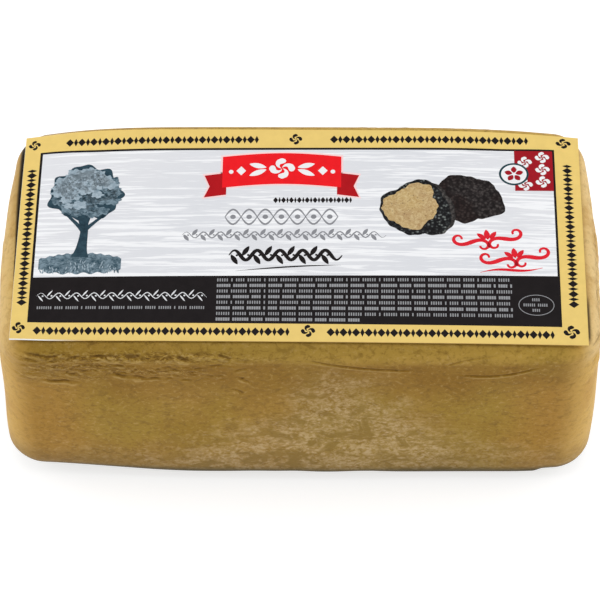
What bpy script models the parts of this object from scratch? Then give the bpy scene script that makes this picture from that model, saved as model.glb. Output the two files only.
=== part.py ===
"""A pressed loaf of truffle sheep cheese with a printed paper label on its top.

Two solids are made, both in metres with +Z up:

- cheese_loaf, a brick of cheese with rounded corners and rims, a belly in its
  walls, ends that draw in towards the back, and the creases of its rind;
- label, a thin sheet of stiff paper that lies on the top and leaves a strip of
  rind free all round.

The origin is on the resting plane under the middle of the loaf. +X runs along
the loaf and the long side that shows faces -Y.
"""

from math import pi, radians

import bmesh
import bpy
import numpy as np

# Loaf, outer sizes of the plain rounded brick before it is given its form
LENGTH = 0.280
DEPTH = 0.139
HEIGHT = 0.1024
CORNER_RADIUS = 0.018
TOP_RIM = 0.0095
BASE_RIM = 0.010
HALF_LENGTH = LENGTH / 2
HALF_DEPTH = DEPTH / 2

# Form of the loaf
BELLY = 0.0009
FRONT_BARREL = 0.0012
BACK_BARREL = 0.0012
BACK_DRAW_IN = (0.0022, 0.0030)
FRONT_DRAW_IN = 0.0014
TAPER = 0.0008

# Undercut of the front wall at its left and right end: amount, start and span
LEFT_UNDERCUT = (0.0026, 0.050, 0.080)
RIGHT_UNDERCUT = (0.0012, 0.100, 0.030)

# Top of the loaf, from the height where the walls begin to follow it
CROWN = 0.0009
TOP_FROM = 0.4
TOP_SPAN = 0.5
FRONT_DROP = 0.0004
BACK_DROP = 0.0042
DROP_FROM = 0.060
DROP_SPAN = 0.075
BACK_DROP_FROM = -0.6
CORNER_FALLS = ((-1, 1, 0.0030), (1, 1, 0.0006))
CORNER_REACH = 0.028

# Base of the loaf, which is flat between the two lifted ends
LEFT_LIFT = 0.0052
LEFT_LIFT_FROM = 0.045
LEFT_LIFT_SPAN = 0.090
RIGHT_STEP = 0.0022
STEP_PLACE = 0.1115
STEP_SPAN = 0.0055
RIGHT_LIFT = 0.0012
RIGHT_LIFT_FROM = 0.114
RIGHT_LIFT_SPAN = 0.022

# Waves of the lower rim: place, width and rise, then where on the rim they are
RIM_WAVES = ((-0.020, 0.012, 0.00075), (-0.002, 0.009, 0.0009), (0.031, 0.011, 0.0009))
WAVE_HEIGHT = 0.002
WAVE_REACH = 0.006
WAVE_TILT = 0.5

# Lumps of the walls: height, and the lengths of the long and the short ones
LUMPS = 0.00035
LONG_LUMPS = (0.021, 0.017)
SHORT_LUMPS = (0.012, 0.011, 0.019)

# Creases of the rind, each from one end to the other as distance along the
# wall and height up the wall and over the rim, then sag, depth and width
CREASES = (
    (-0.1286, 0.0995, -0.1097, 0.0976, -0.0004, 0.0008, 0.0010),
    (-0.0995, 0.0976, -0.0689, 0.0968, 0.0005, 0.0009, 0.0011),
    (-0.0640, 0.0984, -0.0500, 0.0961, 0.0004, 0.0008, 0.0010),
    (-0.0425, 0.0985, -0.0300, 0.0966, 0.0003, 0.0005, 0.0009),
    (-0.0436, 0.0932, -0.0285, 0.0915, 0.0003, 0.0005, 0.0009),
    (-0.0610, 0.0906, -0.0550, 0.0892, 0.0000, 0.0009, 0.0010),
    (-0.1090, 0.0872, -0.1010, 0.0840, -0.0006, 0.0008, 0.0011),
    (-0.0880, 0.0862, -0.0690, 0.0835, -0.0006, 0.0011, 0.0012),
    (-0.1220, 0.0812, -0.1000, 0.0790, -0.0008, 0.0008, 0.0011),
    (-0.0300, 0.0846, -0.0210, 0.0776, 0.0000, 0.0007, 0.0010),
    (-0.0325, 0.0762, -0.0250, 0.0716, 0.0000, 0.0005, 0.0009),
    (-0.0020, 0.0970, 0.0560, 0.0887, -0.0018, 0.0010, 0.0012),
    (0.0080, 0.0962, 0.0260, 0.0988, 0.0004, 0.0006, 0.0010),
    (0.0650, 0.0915, 0.0940, 0.0984, 0.0018, 0.0007, 0.0011),
    (0.0710, 0.0867, 0.1130, 0.0932, -0.0042, 0.0010, 0.0012),
)
LIP_HEIGHT = 0.6
LIP_OFFSET = 1.9
LIP_WIDTH = 1.3
CREASE_END = 0.22
RIGHT_END_SHIFT = 0.060
LEFT_END_SHIFT = 0.075

# Label, a rectangle of paper laid on slightly askew
LABEL_LENGTH = 0.2658
LABEL_DEPTH = 0.1266
LABEL_SHIFT = -0.0006
LABEL_SLANT = 0.0006
LABEL_THICKNESS = 0.0005
LABEL_GAP = 0.0005
LABEL_TURN = radians(-0.4)
LABEL_BENDS = ((-1, 1, 0.0004), (-1, -1, -0.0010))
LABEL_REACH = 0.014

# Fineness of the faceted solids
CORNER_STEPS = 6
RIM_STEPS = 4
LENGTH_CUTS = 54
DEPTH_CUTS = 13
CUT_MARGIN = 0.010
LOW_WALL_CUTS = 7
CREASED_WALL_CUTS = 9
CREASED_WALL_FROM = 0.070
LABEL_CELLS = (34, 14)
TINY = 1e-6

RIND_COLOUR = (0.318, 0.195, 0.058, 1.0)
RIND_ROUGHNESS = 0.5
LABEL_COLOUR = (0.807, 0.584, 0.181, 1.0)
LABEL_ROUGHNESS = 0.45


def clear_scene():
    """Remove every object that the file starts with."""
    for item in list(bpy.data.objects):
        bpy.data.objects.remove(item, do_unlink=True)


def ease(value):
    """Smooth rise from 0 to 1 as the value goes from 0 to 1."""
    limited = np.clip(value, 0.0, 1.0)
    return limited * limited * (3.0 - 2.0 * limited)


def plan_frame(x, y):
    """Outward direction in plan, and distance inside the brick's outline."""
    over_x = np.abs(x) - (HALF_LENGTH - CORNER_RADIUS)
    over_y = np.abs(y) - (HALF_DEPTH - CORNER_RADIUS)
    out_x = np.maximum(over_x, 0.0)
    out_y = np.maximum(over_y, 0.0)
    reach = np.hypot(out_x, out_y)
    inset = CORNER_RADIUS - reach - np.minimum(np.maximum(over_x, over_y), 0.0)
    length = np.maximum(reach, TINY)
    in_corner = reach > TINY
    end_side = over_x > over_y
    along_x = np.where(in_corner, out_x / length, end_side) * np.sign(x)
    along_y = np.where(in_corner, out_y / length, ~end_side) * np.sign(y)
    return along_x, along_y, inset


def profile_frame(inset, z):
    """Tilt of the surface from the wall, and height measured over the rims."""
    top_start = HEIGHT - TOP_RIM
    up = np.arctan2(z - top_start, np.maximum(TOP_RIM - inset, TINY))
    down = np.arctan2(z - BASE_RIM, np.maximum(BASE_RIM - inset, TINY))
    above = z > top_start + TINY
    below = z < BASE_RIM - TINY
    tilt = np.where(above, up, np.where(below, down, 0.0))
    tilt = np.where(above & (inset > TOP_RIM - TINY), pi / 2, tilt)
    tilt = np.where(below & (inset > BASE_RIM - TINY), -pi / 2, tilt)
    over_top = top_start + TOP_RIM * tilt
    under = BASE_RIM + BASE_RIM * tilt
    height = np.where(above, over_top, np.where(below, under, z))
    return tilt, height


def crease_depth(along, height):
    """Furrows with a raised lip below them, summed at places on one wall."""
    total = np.zeros_like(along)
    for start, low, end, high, sag, depth, width in CREASES:
        part = (along - start) / (end - start)
        line = low + (high - low) * part + 4.0 * sag * part * (1.0 - part)
        fade = ease(part / CREASE_END) * ease((1.0 - part) / CREASE_END)
        furrow = np.exp(-(((height - line) / width) ** 2))
        lip = np.exp(-(((height - line + LIP_OFFSET * width) / (LIP_WIDTH * width)) ** 2))
        total += depth * fade * (LIP_HEIGHT * lip - furrow)
    return total


def side_relief(x, y, height, along_x, along_y):
    """Creases on all four walls: the ends and the back repeat parts of the front."""
    front = np.clip(-along_y, 0.0, 1.0) ** 2
    back = np.clip(along_y, 0.0, 1.0) ** 2
    right = np.clip(along_x, 0.0, 1.0) ** 2
    left = np.clip(-along_x, 0.0, 1.0) ** 2
    relief = front * crease_depth(x, height)
    relief += back * crease_depth(-x, height)
    relief += right * crease_depth(y - RIGHT_END_SHIFT, height)
    relief += left * crease_depth(LEFT_END_SHIFT - y, height)
    lumps = np.sin(x / LONG_LUMPS[0] + 1.3) * np.sin(height / LONG_LUMPS[1] + 0.4)
    short = np.sin((x + y) / SHORT_LUMPS[0] + 2.1)
    lumps += short * np.sin(height / SHORT_LUMPS[1] + y / SHORT_LUMPS[2])
    return relief + LUMPS * lumps


def corner_sum(x, y, half_x, half_y, amounts, reach):
    """Amounts that fade away from the corners of a rectangle."""
    total = np.zeros_like(x)
    for side, end, amount in amounts:
        away = (x - side * half_x) ** 2 + (y - end * half_y) ** 2
        total += amount * np.exp(-away / reach**2)
    return total


def top_rise(x, y):
    """Crown of the top, which drops towards the ends and the back corners."""
    along = x / HALF_LENGTH
    back_part = ease((y / HALF_DEPTH - BACK_DROP_FROM) / (1.0 - BACK_DROP_FROM))
    far = np.clip((np.abs(x) - DROP_FROM) / DROP_SPAN, 0.0, None)
    drop = (FRONT_DROP + (BACK_DROP - FRONT_DROP) * back_part) * far**2
    falls = corner_sum(x, y, HALF_LENGTH, HALF_DEPTH, CORNER_FALLS, CORNER_REACH)
    return CROWN * (1.0 - along**2) - drop - falls


def base_lift(x):
    """Lift of the base towards its two ends, with a step near the right end."""
    left = LEFT_LIFT * ease((-x - LEFT_LIFT_FROM) / LEFT_LIFT_SPAN)
    step = RIGHT_STEP * ease((x - STEP_PLACE) / STEP_SPAN)
    return left + step + RIGHT_LIFT * ease((x - RIGHT_LIFT_FROM) / RIGHT_LIFT_SPAN)


def rim_wave(x):
    """Small waves along the lower rim."""
    return sum(rise * np.exp(-(((x - place) / width) ** 2)) for place, width, rise in RIM_WAVES)


def undercut(x):
    """How far the foot of the front wall lies back near its two ends."""
    left, left_from, left_span = LEFT_UNDERCUT
    right, right_from, right_span = RIGHT_UNDERCUT
    return left * ease((-x - left_from) / left_span) + right * ease((x - right_from) / right_span)


def wall_offset(x, y, z, along_x, along_y):
    """How far the walls swell, draw in and taper from the plain brick."""
    along = np.abs(x / HALF_LENGTH)
    across = y / HALF_DEPTH
    part = np.clip(z / HEIGHT, 0.0, 1.0)
    front = np.clip(-along_y, 0.0, 1.0) ** 2
    back = np.clip(along_y, 0.0, 1.0) ** 2
    ends = along_x**2
    to_back = BACK_DRAW_IN[0] * across + BACK_DRAW_IN[1] * across**2
    draw_in = np.where(across > 0.0, to_back, FRONT_DRAW_IN * across**2)
    swell = BELLY * 4.0 * part * (1.0 - part)
    barrel = (FRONT_BARREL * front + BACK_BARREL * back) * along**3
    ends_in = ends * (draw_in + TAPER * (1.0 - part) ** 1.5)
    return swell - barrel - ends_in - front * (1.0 - part) * undercut(x)


def shaped(x, y, z):
    """Move places on the plain rounded brick to the surface of the loaf."""
    along_x, along_y, inset = plan_frame(x, y)
    tilt, height = profile_frame(inset, z)
    part = np.clip(z / HEIGHT, 0.0, 1.0)
    offset = wall_offset(x, y, z, along_x, along_y)
    offset += side_relief(x, y, height, along_x, along_y)
    offset *= np.cos(tilt) ** 2
    on_rim = np.exp(-(((z - WAVE_HEIGHT) / WAVE_REACH) ** 2)) * ease((tilt + pi / 2) / WAVE_TILT)
    lift = base_lift(x) * (1.0 - part) ** 2 + rim_wave(x) * on_rim
    lift += top_rise(x, y) * ease((part - TOP_FROM) / TOP_SPAN)
    flat = np.cos(tilt) * offset
    return x + flat * along_x, y + flat * along_y, z + np.sin(tilt) * offset + lift


def move_vertices(mesh, mover):
    """Apply a function of whole coordinate arrays to a bmesh's vertices."""
    places = np.array([vertex.co[:] for vertex in mesh.verts])
    moved = np.stack(mover(*places.T), axis=1)
    for vertex, place in zip(mesh.verts, moved):
        vertex.co = place


def edges_where(mesh, test):
    """Edges of a bmesh whose two ends both pass a test."""
    return [edge for edge in mesh.edges if all(test(vertex.co) for vertex in edge.verts)]


def upright_edges(mesh):
    """The four corner edges of the box."""
    return [edge for edge in mesh.edges if abs(edge.verts[0].co.z - edge.verts[1].co.z) > HEIGHT / 2]


def round_edges(mesh, edges, radius, steps):
    """Round some edges of a bmesh to a radius."""
    bmesh.ops.bevel(
        mesh, geom=edges, offset=radius, segments=steps, profile=0.5, affect="EDGES", clamp_overlap=False
    )


def cut_across(mesh, place, direction):
    """Cut all faces of a bmesh along a plane, keeping both sides."""
    geometry = mesh.verts[:] + mesh.edges[:] + mesh.faces[:]
    bmesh.ops.bisect_plane(mesh, geom=geometry, dist=TINY, plane_co=place, plane_no=direction)


def cut_loaf(mesh):
    """Divide the rounded brick so that it can take its form and its creases."""
    reach_x = HALF_LENGTH - CUT_MARGIN
    reach_y = HALF_DEPTH - CUT_MARGIN
    for place in np.linspace(-reach_x, reach_x, LENGTH_CUTS):
        cut_across(mesh, (place, 0.0, 0.0), (1.0, 0.0, 0.0))
    for place in np.linspace(-reach_y, reach_y, DEPTH_CUTS):
        cut_across(mesh, (0.0, place, 0.0), (0.0, 1.0, 0.0))
    low = np.linspace(BASE_RIM, CREASED_WALL_FROM, LOW_WALL_CUTS, endpoint=False)[1:]
    high = np.linspace(CREASED_WALL_FROM, HEIGHT - TOP_RIM, CREASED_WALL_CUTS, endpoint=False)
    for place in np.concatenate((low, high)):
        cut_across(mesh, (0.0, 0.0, place), (0.0, 0.0, 1.0))


def loaf_mesh():
    """Box with rounded corners and rims, cut finely and given the loaf's form."""
    mesh = bmesh.new()
    bmesh.ops.create_cube(mesh, size=1.0)
    bmesh.ops.translate(mesh, verts=mesh.verts, vec=(0.0, 0.0, 0.5))
    bmesh.ops.scale(mesh, verts=mesh.verts, vec=(LENGTH, DEPTH, HEIGHT))
    round_edges(mesh, upright_edges(mesh), CORNER_RADIUS, CORNER_STEPS)
    round_edges(mesh, edges_where(mesh, lambda co: co.z > HEIGHT - TINY), TOP_RIM, RIM_STEPS)
    round_edges(mesh, edges_where(mesh, lambda co: co.z < TINY), BASE_RIM, RIM_STEPS)
    cut_loaf(mesh)
    bmesh.ops.triangulate(mesh, faces=mesh.faces)
    move_vertices(mesh, shaped)
    return mesh


def label_place(across, back):
    """Top surface of the label for places from -1 to 1 along its two sides.

    The sheet is turned a little in plan, and cut out of square at its back
    left corner. It follows the crown of the loaf's top, bends down at the back
    left corner and curls up at the front left one.
    """
    flat_x = across * LABEL_LENGTH / 2
    flat_y = back * LABEL_DEPTH / 2
    slant = LABEL_SLANT * (1.0 - across) * (1.0 + back) / 4
    x = flat_x * np.cos(LABEL_TURN) - flat_y * np.sin(LABEL_TURN) + slant
    y = flat_x * np.sin(LABEL_TURN) + flat_y * np.cos(LABEL_TURN) + LABEL_SHIFT
    bends = corner_sum(flat_x, flat_y, LABEL_LENGTH / 2, LABEL_DEPTH / 2, LABEL_BENDS, LABEL_REACH)
    z = HEIGHT + top_rise(x, y) + LABEL_GAP + LABEL_THICKNESS - bends
    return x, y, z


def label_mesh():
    """Grid over the label's printed side."""
    mesh = bmesh.new()
    bmesh.ops.create_grid(mesh, x_segments=LABEL_CELLS[0], y_segments=LABEL_CELLS[1], size=1.0)
    bmesh.ops.triangulate(mesh, faces=mesh.faces)
    move_vertices(mesh, lambda x, y, z: label_place(x, y))
    return mesh


def principled(name, colour, roughness):
    """Material with a plain colour and roughness."""
    material = bpy.data.materials.new(name)
    material.use_nodes = True
    shader = material.node_tree.nodes["Principled BSDF"]
    shader.inputs["Base Color"].default_value = colour
    shader.inputs["Roughness"].default_value = roughness
    shader.inputs["Metallic"].default_value = 0.0
    return material


def add_object(name, mesh, material, collection):
    """Turn a finished bmesh into a named object."""
    data = bpy.data.meshes.new(name)
    mesh.to_mesh(data)
    mesh.free()
    data.shade_smooth()
    data.materials.append(material)
    item = bpy.data.objects.new(name, data)
    collection.objects.link(item)
    return item


def add_loaf(collection):
    """The cheese itself, with its rind."""
    rind = principled("rind", RIND_COLOUR, RIND_ROUGHNESS)
    return add_object("cheese_loaf", loaf_mesh(), rind, collection)


def add_label(collection):
    """The paper label, given its thickness downwards from the printed side."""
    paper = principled("label_paper", LABEL_COLOUR, LABEL_ROUGHNESS)
    item = add_object("label", label_mesh(), paper, collection)
    solid = item.modifiers.new("thickness", "SOLIDIFY")
    solid.thickness = LABEL_THICKNESS
    solid.offset = -1.0
    return item


def main():
    """Build both solids in a collection named for the object."""
    clear_scene()
    collection = bpy.data.collections.new("truffle_sheep_cheese")
    bpy.context.scene.collection.children.link(collection)
    add_loaf(collection)
    add_label(collection)


main()
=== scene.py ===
"""Looks of a pressed loaf of truffle sheep cheese with a printed paper label.

The file is laid out as an add-on: the settings at the top of the panel are the
sizes and colours that a user would change, and each operator makes one piece
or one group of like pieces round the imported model. Lengths are in metres, but
places on the print are in millimetres from the middle of the label.
"""

from functools import partialmethod
from itertools import product
from math import pi, radians

import bmesh
import bpy
import numpy as np
from bpy.props import FloatProperty, FloatVectorProperty, PointerProperty
from mathutils import Matrix, Vector


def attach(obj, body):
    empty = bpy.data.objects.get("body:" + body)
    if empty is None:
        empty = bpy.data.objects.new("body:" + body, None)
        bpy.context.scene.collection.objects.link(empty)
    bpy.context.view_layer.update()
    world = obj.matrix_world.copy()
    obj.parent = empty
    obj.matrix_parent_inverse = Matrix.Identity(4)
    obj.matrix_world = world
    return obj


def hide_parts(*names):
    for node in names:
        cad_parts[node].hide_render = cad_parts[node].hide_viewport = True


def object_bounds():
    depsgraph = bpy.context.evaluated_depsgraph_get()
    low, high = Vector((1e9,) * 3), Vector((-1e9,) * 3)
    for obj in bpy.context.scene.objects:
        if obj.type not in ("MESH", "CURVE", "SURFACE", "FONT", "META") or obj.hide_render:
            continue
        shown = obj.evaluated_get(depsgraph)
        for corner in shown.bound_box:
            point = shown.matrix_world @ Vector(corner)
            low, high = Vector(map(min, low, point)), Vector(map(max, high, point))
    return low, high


bl_info = {
    "name": "Truffle sheep cheese",
    "version": (1, 0, 0),
    "blender": (4, 5, 0),
    "location": "View3D > Sidebar > Cheese",
    "description": "Makes the rind, the paper label and its print, and a pale studio",
    "category": "Object",
}

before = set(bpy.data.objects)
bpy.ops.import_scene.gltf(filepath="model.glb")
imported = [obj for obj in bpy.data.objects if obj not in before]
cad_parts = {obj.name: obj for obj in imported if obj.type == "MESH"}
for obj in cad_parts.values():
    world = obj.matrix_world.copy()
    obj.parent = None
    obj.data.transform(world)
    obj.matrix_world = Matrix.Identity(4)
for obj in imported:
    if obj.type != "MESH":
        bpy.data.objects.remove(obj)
cad_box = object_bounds()

# Loaf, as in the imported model. A stretch is the place where something starts to
# grow, and the length over which it grows. Undercuts and lifts are given as the
# end of the loaf, the amount and the stretch.
LENGTH = 0.280
DEPTH = 0.139
HEIGHT = 0.1024
CORNER_RADIUS = 0.018
TOP_RIM = 0.0095
BASE_RIM = 0.010
HALF_LENGTH = LENGTH / 2
HALF_DEPTH = DEPTH / 2
BELLY = 0.0009
BARREL = 0.0012
BACK_DRAW_IN = (0.0022, 0.0030)
FRONT_DRAW_IN = 0.0014
TAPER = 0.0008
UNDERCUTS = ((-1, 0.0026, (0.050, 0.080)), (1, 0.0012, (0.100, 0.030)))
CROWN = 0.0009
TOP_STRETCH = (0.4, 0.5)
FRONT_DROP = 0.0004
BACK_DROP = 0.0042
BACK_DROP_STRETCH = (-0.6, 1.6)
DROP_FROM = 0.060
DROP_SPAN = 0.075
CORNER_FALLS = ((-1, 1, 0.0030), (1, 1, 0.0006))
CORNER_REACH = 0.028
BASE_LIFTS = ((-1, 0.0052, (0.045, 0.090)), (1, 0.0022, (0.1115, 0.0055)), (1, 0.0012, (0.114, 0.022)))
RIM_WAVES = ((-0.020, 0.012, 0.00075), (-0.002, 0.009, 0.0009), (0.031, 0.011, 0.0009))
WAVE_HEIGHT = 0.002
WAVE_REACH = 0.006
WAVE_TILT = 0.5
LUMPS = 0.00035
LONG_LUMPS = (0.021, 0.017)
SHORT_LUMPS = (0.012, 0.011, 0.019)
LUMP_PHASES = (1.3, 0.4, 2.1)

# Noise: large uneven factors that scatter the sines of whole-numbered places
NOISE_WAYS = (127.1, 311.7, 74.7)
NOISE_SEED = 53.3
NOISE_SIZE = 43758.5453

# Creases of the rind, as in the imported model: start, its height, end, its height,
# sag, depth and width
CREASES = (
    (-0.1286, 0.0995, -0.1097, 0.0976, -0.0004, 0.0008, 0.0010),
    (-0.0995, 0.0976, -0.0689, 0.0968, 0.0005, 0.0009, 0.0011),
    (-0.0640, 0.0984, -0.0500, 0.0961, 0.0004, 0.0008, 0.0010),
    (-0.0425, 0.0985, -0.0300, 0.0966, 0.0003, 0.0005, 0.0009),
    (-0.0436, 0.0932, -0.0285, 0.0915, 0.0003, 0.0005, 0.0009),
    (-0.0610, 0.0906, -0.0550, 0.0892, 0.0000, 0.0009, 0.0010),
    (-0.1090, 0.0872, -0.1010, 0.0840, -0.0006, 0.0008, 0.0011),
    (-0.0880, 0.0862, -0.0690, 0.0835, -0.0006, 0.0011, 0.0012),
    (-0.1220, 0.0812, -0.1000, 0.0790, -0.0008, 0.0008, 0.0011),
    (-0.0300, 0.0846, -0.0210, 0.0776, 0.0000, 0.0007, 0.0010),
    (-0.0325, 0.0762, -0.0250, 0.0716, 0.0000, 0.0005, 0.0009),
    (-0.0020, 0.0970, 0.0560, 0.0887, -0.0018, 0.0010, 0.0012),
    (0.0080, 0.0962, 0.0260, 0.0988, 0.0004, 0.0006, 0.0010),
    (0.0650, 0.0915, 0.0940, 0.0984, 0.0018, 0.0007, 0.0011),
    (0.0710, 0.0867, 0.1130, 0.0932, -0.0042, 0.0010, 0.0012),
)
LIP_HEIGHT = 0.6
LIP_OFFSET = 1.9
LIP_WIDTH = 1.3
CREASE_END = 0.22
RIGHT_END_SHIFT = 0.060
LEFT_END_SHIFT = 0.075

# The creases left of here are ragged, and those right of it are fine folds:
# the width and the depth of each kind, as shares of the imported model's
RAGGED_UNTIL = -0.010
RAGGED_SHARES = (0.80, 0.95)
FOLD_SHARES = (0.44, 0.50)
RAGGED_SHIFT = 0.0007
RAGGED_WAVE = 0.0034
WANDER_ROWS = 0.004
SWELL_ROWS = 0.003
SWELL = (0.65, 0.6)

# Ragged skin on a wall: middle along and up it, half sizes, strength
RAGGED_PATCHES = (
    (-0.080, 0.0970, 0.056, 0.0030, 1.00),
    (-0.106, 0.0905, 0.020, 0.0036, 0.90),
    (-0.070, 0.0880, 0.026, 0.0026, 0.80),
    (-0.112, 0.0822, 0.022, 0.0022, 0.60),
    (-0.026, 0.0955, 0.022, 0.0020, 0.50),
)
END_RAGGEDNESS = 0.4

# Fine wrinkles: how many, where they lie along and up the wall, and their sizes
WRINKLE_COUNT = 190
WRINKLE_ALONG = (-0.136, -0.026)
WRINKLE_CROWDING = 1.15
WRINKLE_ROWS = (0.0990, 0.0975, 0.0965, 0.0955, 0.0910, 0.0885, 0.0860, 0.0825)
WRINKLE_SCATTER = 0.0022
WRINKLE_HALF_LENGTH = (0.0007, 0.0030)
WRINKLE_SLOPE = 0.30
WRINKLE_DEPTHS = (0.35, 0.65)
WRINKLE_WIDTH = 0.00062
WRINKLE_LIP = (0.55, 1.7, 1.2)
WRINKLE_REACH = (2.0, 5.0)
WRINKLE_LIMITS = (-1.0, 0.6)

# Bloom: foot height, rise, middle and spread of its edge on the front, then the
# waves of that edge as height, length along, length up, seed
BLOOM_EDGE = (0.018, 0.066, 0.020, 0.048)
BLOOM_WAVES = ((0.015, 0.020, 0.012, 21), (0.010, 0.008, 0.005, 22))
BLOOM_FADE = 0.046
BLOOM_LEAD = 0.40
BLOOM_STRETCH = (-0.115, 0.045)
LEFT_BLOOM = 0.30
LOW_BLOOM = 0.50
LOW_BLOOM_HEIGHT = 0.026
LOW_BLOOM_FADE = 0.020
LOW_BLOOM_STRETCH = (-0.085, 0.035)
END_BLOOM = 0.45

# Shadow of the label's edge on the rind: strengths from 0 to 1, reaches, and
# stretches along the label, or across it from its front or its back
SHADOW_STRETCH = (0.088, 0.008)
FRONT_SHADE = 0.24
FRONT_SHADE_LOSS = 0.18
FRONT_LOSS_STRETCH = (-0.020, 0.130)
FRONT_SHADE_TOP = 0.1010
FRONT_SHADE_REACH = 0.0056
FRONT_SIDE_STRETCH = (0.0625, 0.0030)
FRONT_ENDS_STRETCH = (-0.1310, 0.012)
LEFT_EDGE_STRETCH = (0.120, 0.010)
LEFT_BACK_STRETCH = (-0.034, 0.064)
DEEP_REACH = 0.0017
DEEP_LEAST_REACH = 0.0001
DEEP_FROM = 0.06
FRINGE_SHADE = 0.28
FRINGE_REACH = 0.0040
RIGHT_SHADE = (0.12, 0.78)
RIGHT_SHADE_OFFSET = 0.0006
RIGHT_SHADE_REACH = 0.0008
RIGHT_CORNER_STRETCH = (0.030, 0.012)
RIGHT_FRONT_STRETCH = (-0.0600, 0.0030)

# Fineness of the loaf's surface
FRONT_STEP = 0.00066
OTHER_STEP = 0.0021
CORNER_STEPS = 22
LOW_WALL_STEP = 0.0016
HIGH_WALL_STEP = 0.00055
CREASED_FROM = 0.072
BASE_RIM_STEPS = 8
TOP_RIM_STEPS = 27
CAP_SCALES = (0.985, 0.96, 0.92, 0.8, 0.6, 0.35, 0.12)
TINY = 1e-6

# Label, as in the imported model
LABEL_LENGTH = 0.2658
LABEL_DEPTH = 0.1266
LABEL_SHIFT = -0.0006
LABEL_SLANT = 0.0006
LABEL_THICKNESS = 0.0005
LABEL_GAP = 0.0005
LABEL_TURN = radians(-0.4)
LABEL_BENDS = ((-1, 1, 0.0004), (-1, -1, -0.0010))
LABEL_REACH = 0.014

# Print: the sheet's top lies this far under the model's, which leaves room for
# the layers of ink, and the lines of the print rise a little to the right
MM = 0.001
PRINT_DEPTH = 0.0002
LAYER = 0.000028
LAYER_OVERLAP = 0.3
GROUND_OVERLAP = 0.00001
SHEET_CELLS = (134, 64)
PRINT_SKEW = 0.0130
SKEW_FROM = -53.0
SKEW_SPAN = 27.0
CORNER_RISE = 1.3
CORNER_RISE_ALONG = (92.0, 33.0)
CORNER_RISE_BACK = (-10.0, 50.0)
SHEET_SLANT = 0.0135

# Shares of the usual mirror light that the varnished print and the rind give back
PRINT_SHEEN = 0.06
RIND_SHEEN = 0.12

# Dullness and unevenness of the gold and the black inks
GOLD_FINISH = (0.36, 0.025)
BLACK_FINISH = (0.36, 0.10)

# Fields of the print: left, right, low and high edge
GOLD_FIELD = (-0.9994, 0.9994, -1.0, 0.9985)
FRAME_FIELD = (-125.2, 121.0, -53.1, 51.6)
SILVER_FIELD = (-124.0, 119.9, -25.2, 50.3)
PANEL_FIELD = (101.6, 120.0, 25.8, 50.5, 12, 16)

# White paper in front of the gold: everywhere, and more towards the left corner
FRONT_MARGIN = 0.0015
LEFT_MARGIN = 0.0075
LEFT_MARGIN_STRETCH = (0.60, 0.25)

# Rosettes in the border: middle, and half their width and height
BORDER_ROSETTES = (
    (-128.4, 57.1, 2.9, 3.2),
    (-2.9, 56.9, 3.1, 3.3),
    (125.6, 56.0, 3.7, 3.1),
    (-129.0, -56.4, 3.0, 3.4),
    (4.1, -57.2, 3.3, 3.5),
    (125.3, -56.0, 3.8, 3.8),
)

# Comma heads of a rosette: less hollow and fuller than two true half circles
HOLLOW = 0.75
FULLNESS = 1.2

# Runs of marks in the border: start, end, middle line, and quarter turns
BORDER_RUNS = (
    (-113.2, -20.6, 56.7, 0),
    (13.5, 108.6, 56.7, 0),
    (-122.4, -4.4, -57.8, 0),
    (12.6, 117.4, -57.8, 0),
    (-42.6, 40.8, 128.5, 1),
    (-42.6, 42.6, -126.9, 1),
)
MARK_HEIGHT = 4.8
MARK_PITCH = 5.8
WIDE_MARK = 0.33
NARROW_MARK = 0.17

# Banner: its ribbon, its two tails, and the ornament on it
BANNER_OUTLINE = 0.9
RIBBON_LEFT = -37.5
RIBBON_LENGTH = 56.5
RIBBON_MIDDLE = 36.6
RIBBON_HALF_HEIGHT = 9.4
RIBBON_ARCH = 2.2
TAIL_ROOTS = (-35.5, 17.0)
TAIL_LENGTH = 10.5
TAIL_NOTCH = 2.6
TAIL_MIDDLE = 29.6
TAIL_DROP = 1.6
TAIL_HALF_HEIGHT = 6.6
BANNER_ROSETTE = (-9.2, 38.8)
BANNER_ROSETTE_SIZE = (6.2, 6.2)

# Ornament lines: left, right, middle line, swing, wave, half width of the pen, and
# of one vine the width of its leaves
BRAID = (-35.7, 17.5, 9.6, 4.4, 7.6, 0.52)
GREY_VINE = (-55.5, 40.2, -1.1, 3.3, 8.0, 0.36)
BOLD_VINE = (-33.3, 19.6, -13.2, 5.2, 10.6, 0.95)
BAND_VINE = (-121.8, -43.0, -36.8, 3.3, 8.2, 0.24, 0.048)
LEAF_WIDTH = 0.115
TAGLINE = (-13.2, 24.1, 19.6, 0, 3.6, 3.7)

# Pen line under the bold vine: left, right, height, rise and half width
PEN_LINE = (-30.0, 19.0, -22.4, 3.2, 0.42)

# Tree picture: the mound, the trunk, its branches' reach and lift, and the crown
MOUND_LEFT = -122.0
MOUND_LENGTH = 38.5
MOUND_CREST = -14.5
MOUND_FOOT = -23.2
TRUNK_FOOT = (-103.0, -13.5)
TRUNK_HEIGHT = 32.0
FORK = (-102.0, 1.0)
BRANCHES = ((-12.5, 15.0), (12.5, 13.0), (-7.0, 22.0), (6.5, 22.0))
CROWN_MIDDLE = (-102.0, 25.0)
CROWN_SIZE = (17.0, 16.2)
CROWN_LOBES = ((7, 0.06, 0.4), (12, 0.05, 1.1), (3, 0.04, 2.0))
CLUMPS_SIZE = (16.6, 16.0)
CLUMP_COUNT = 90
CLUMP_SEED = 4
GOLDEN_ANGLE = 2.39996

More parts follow.
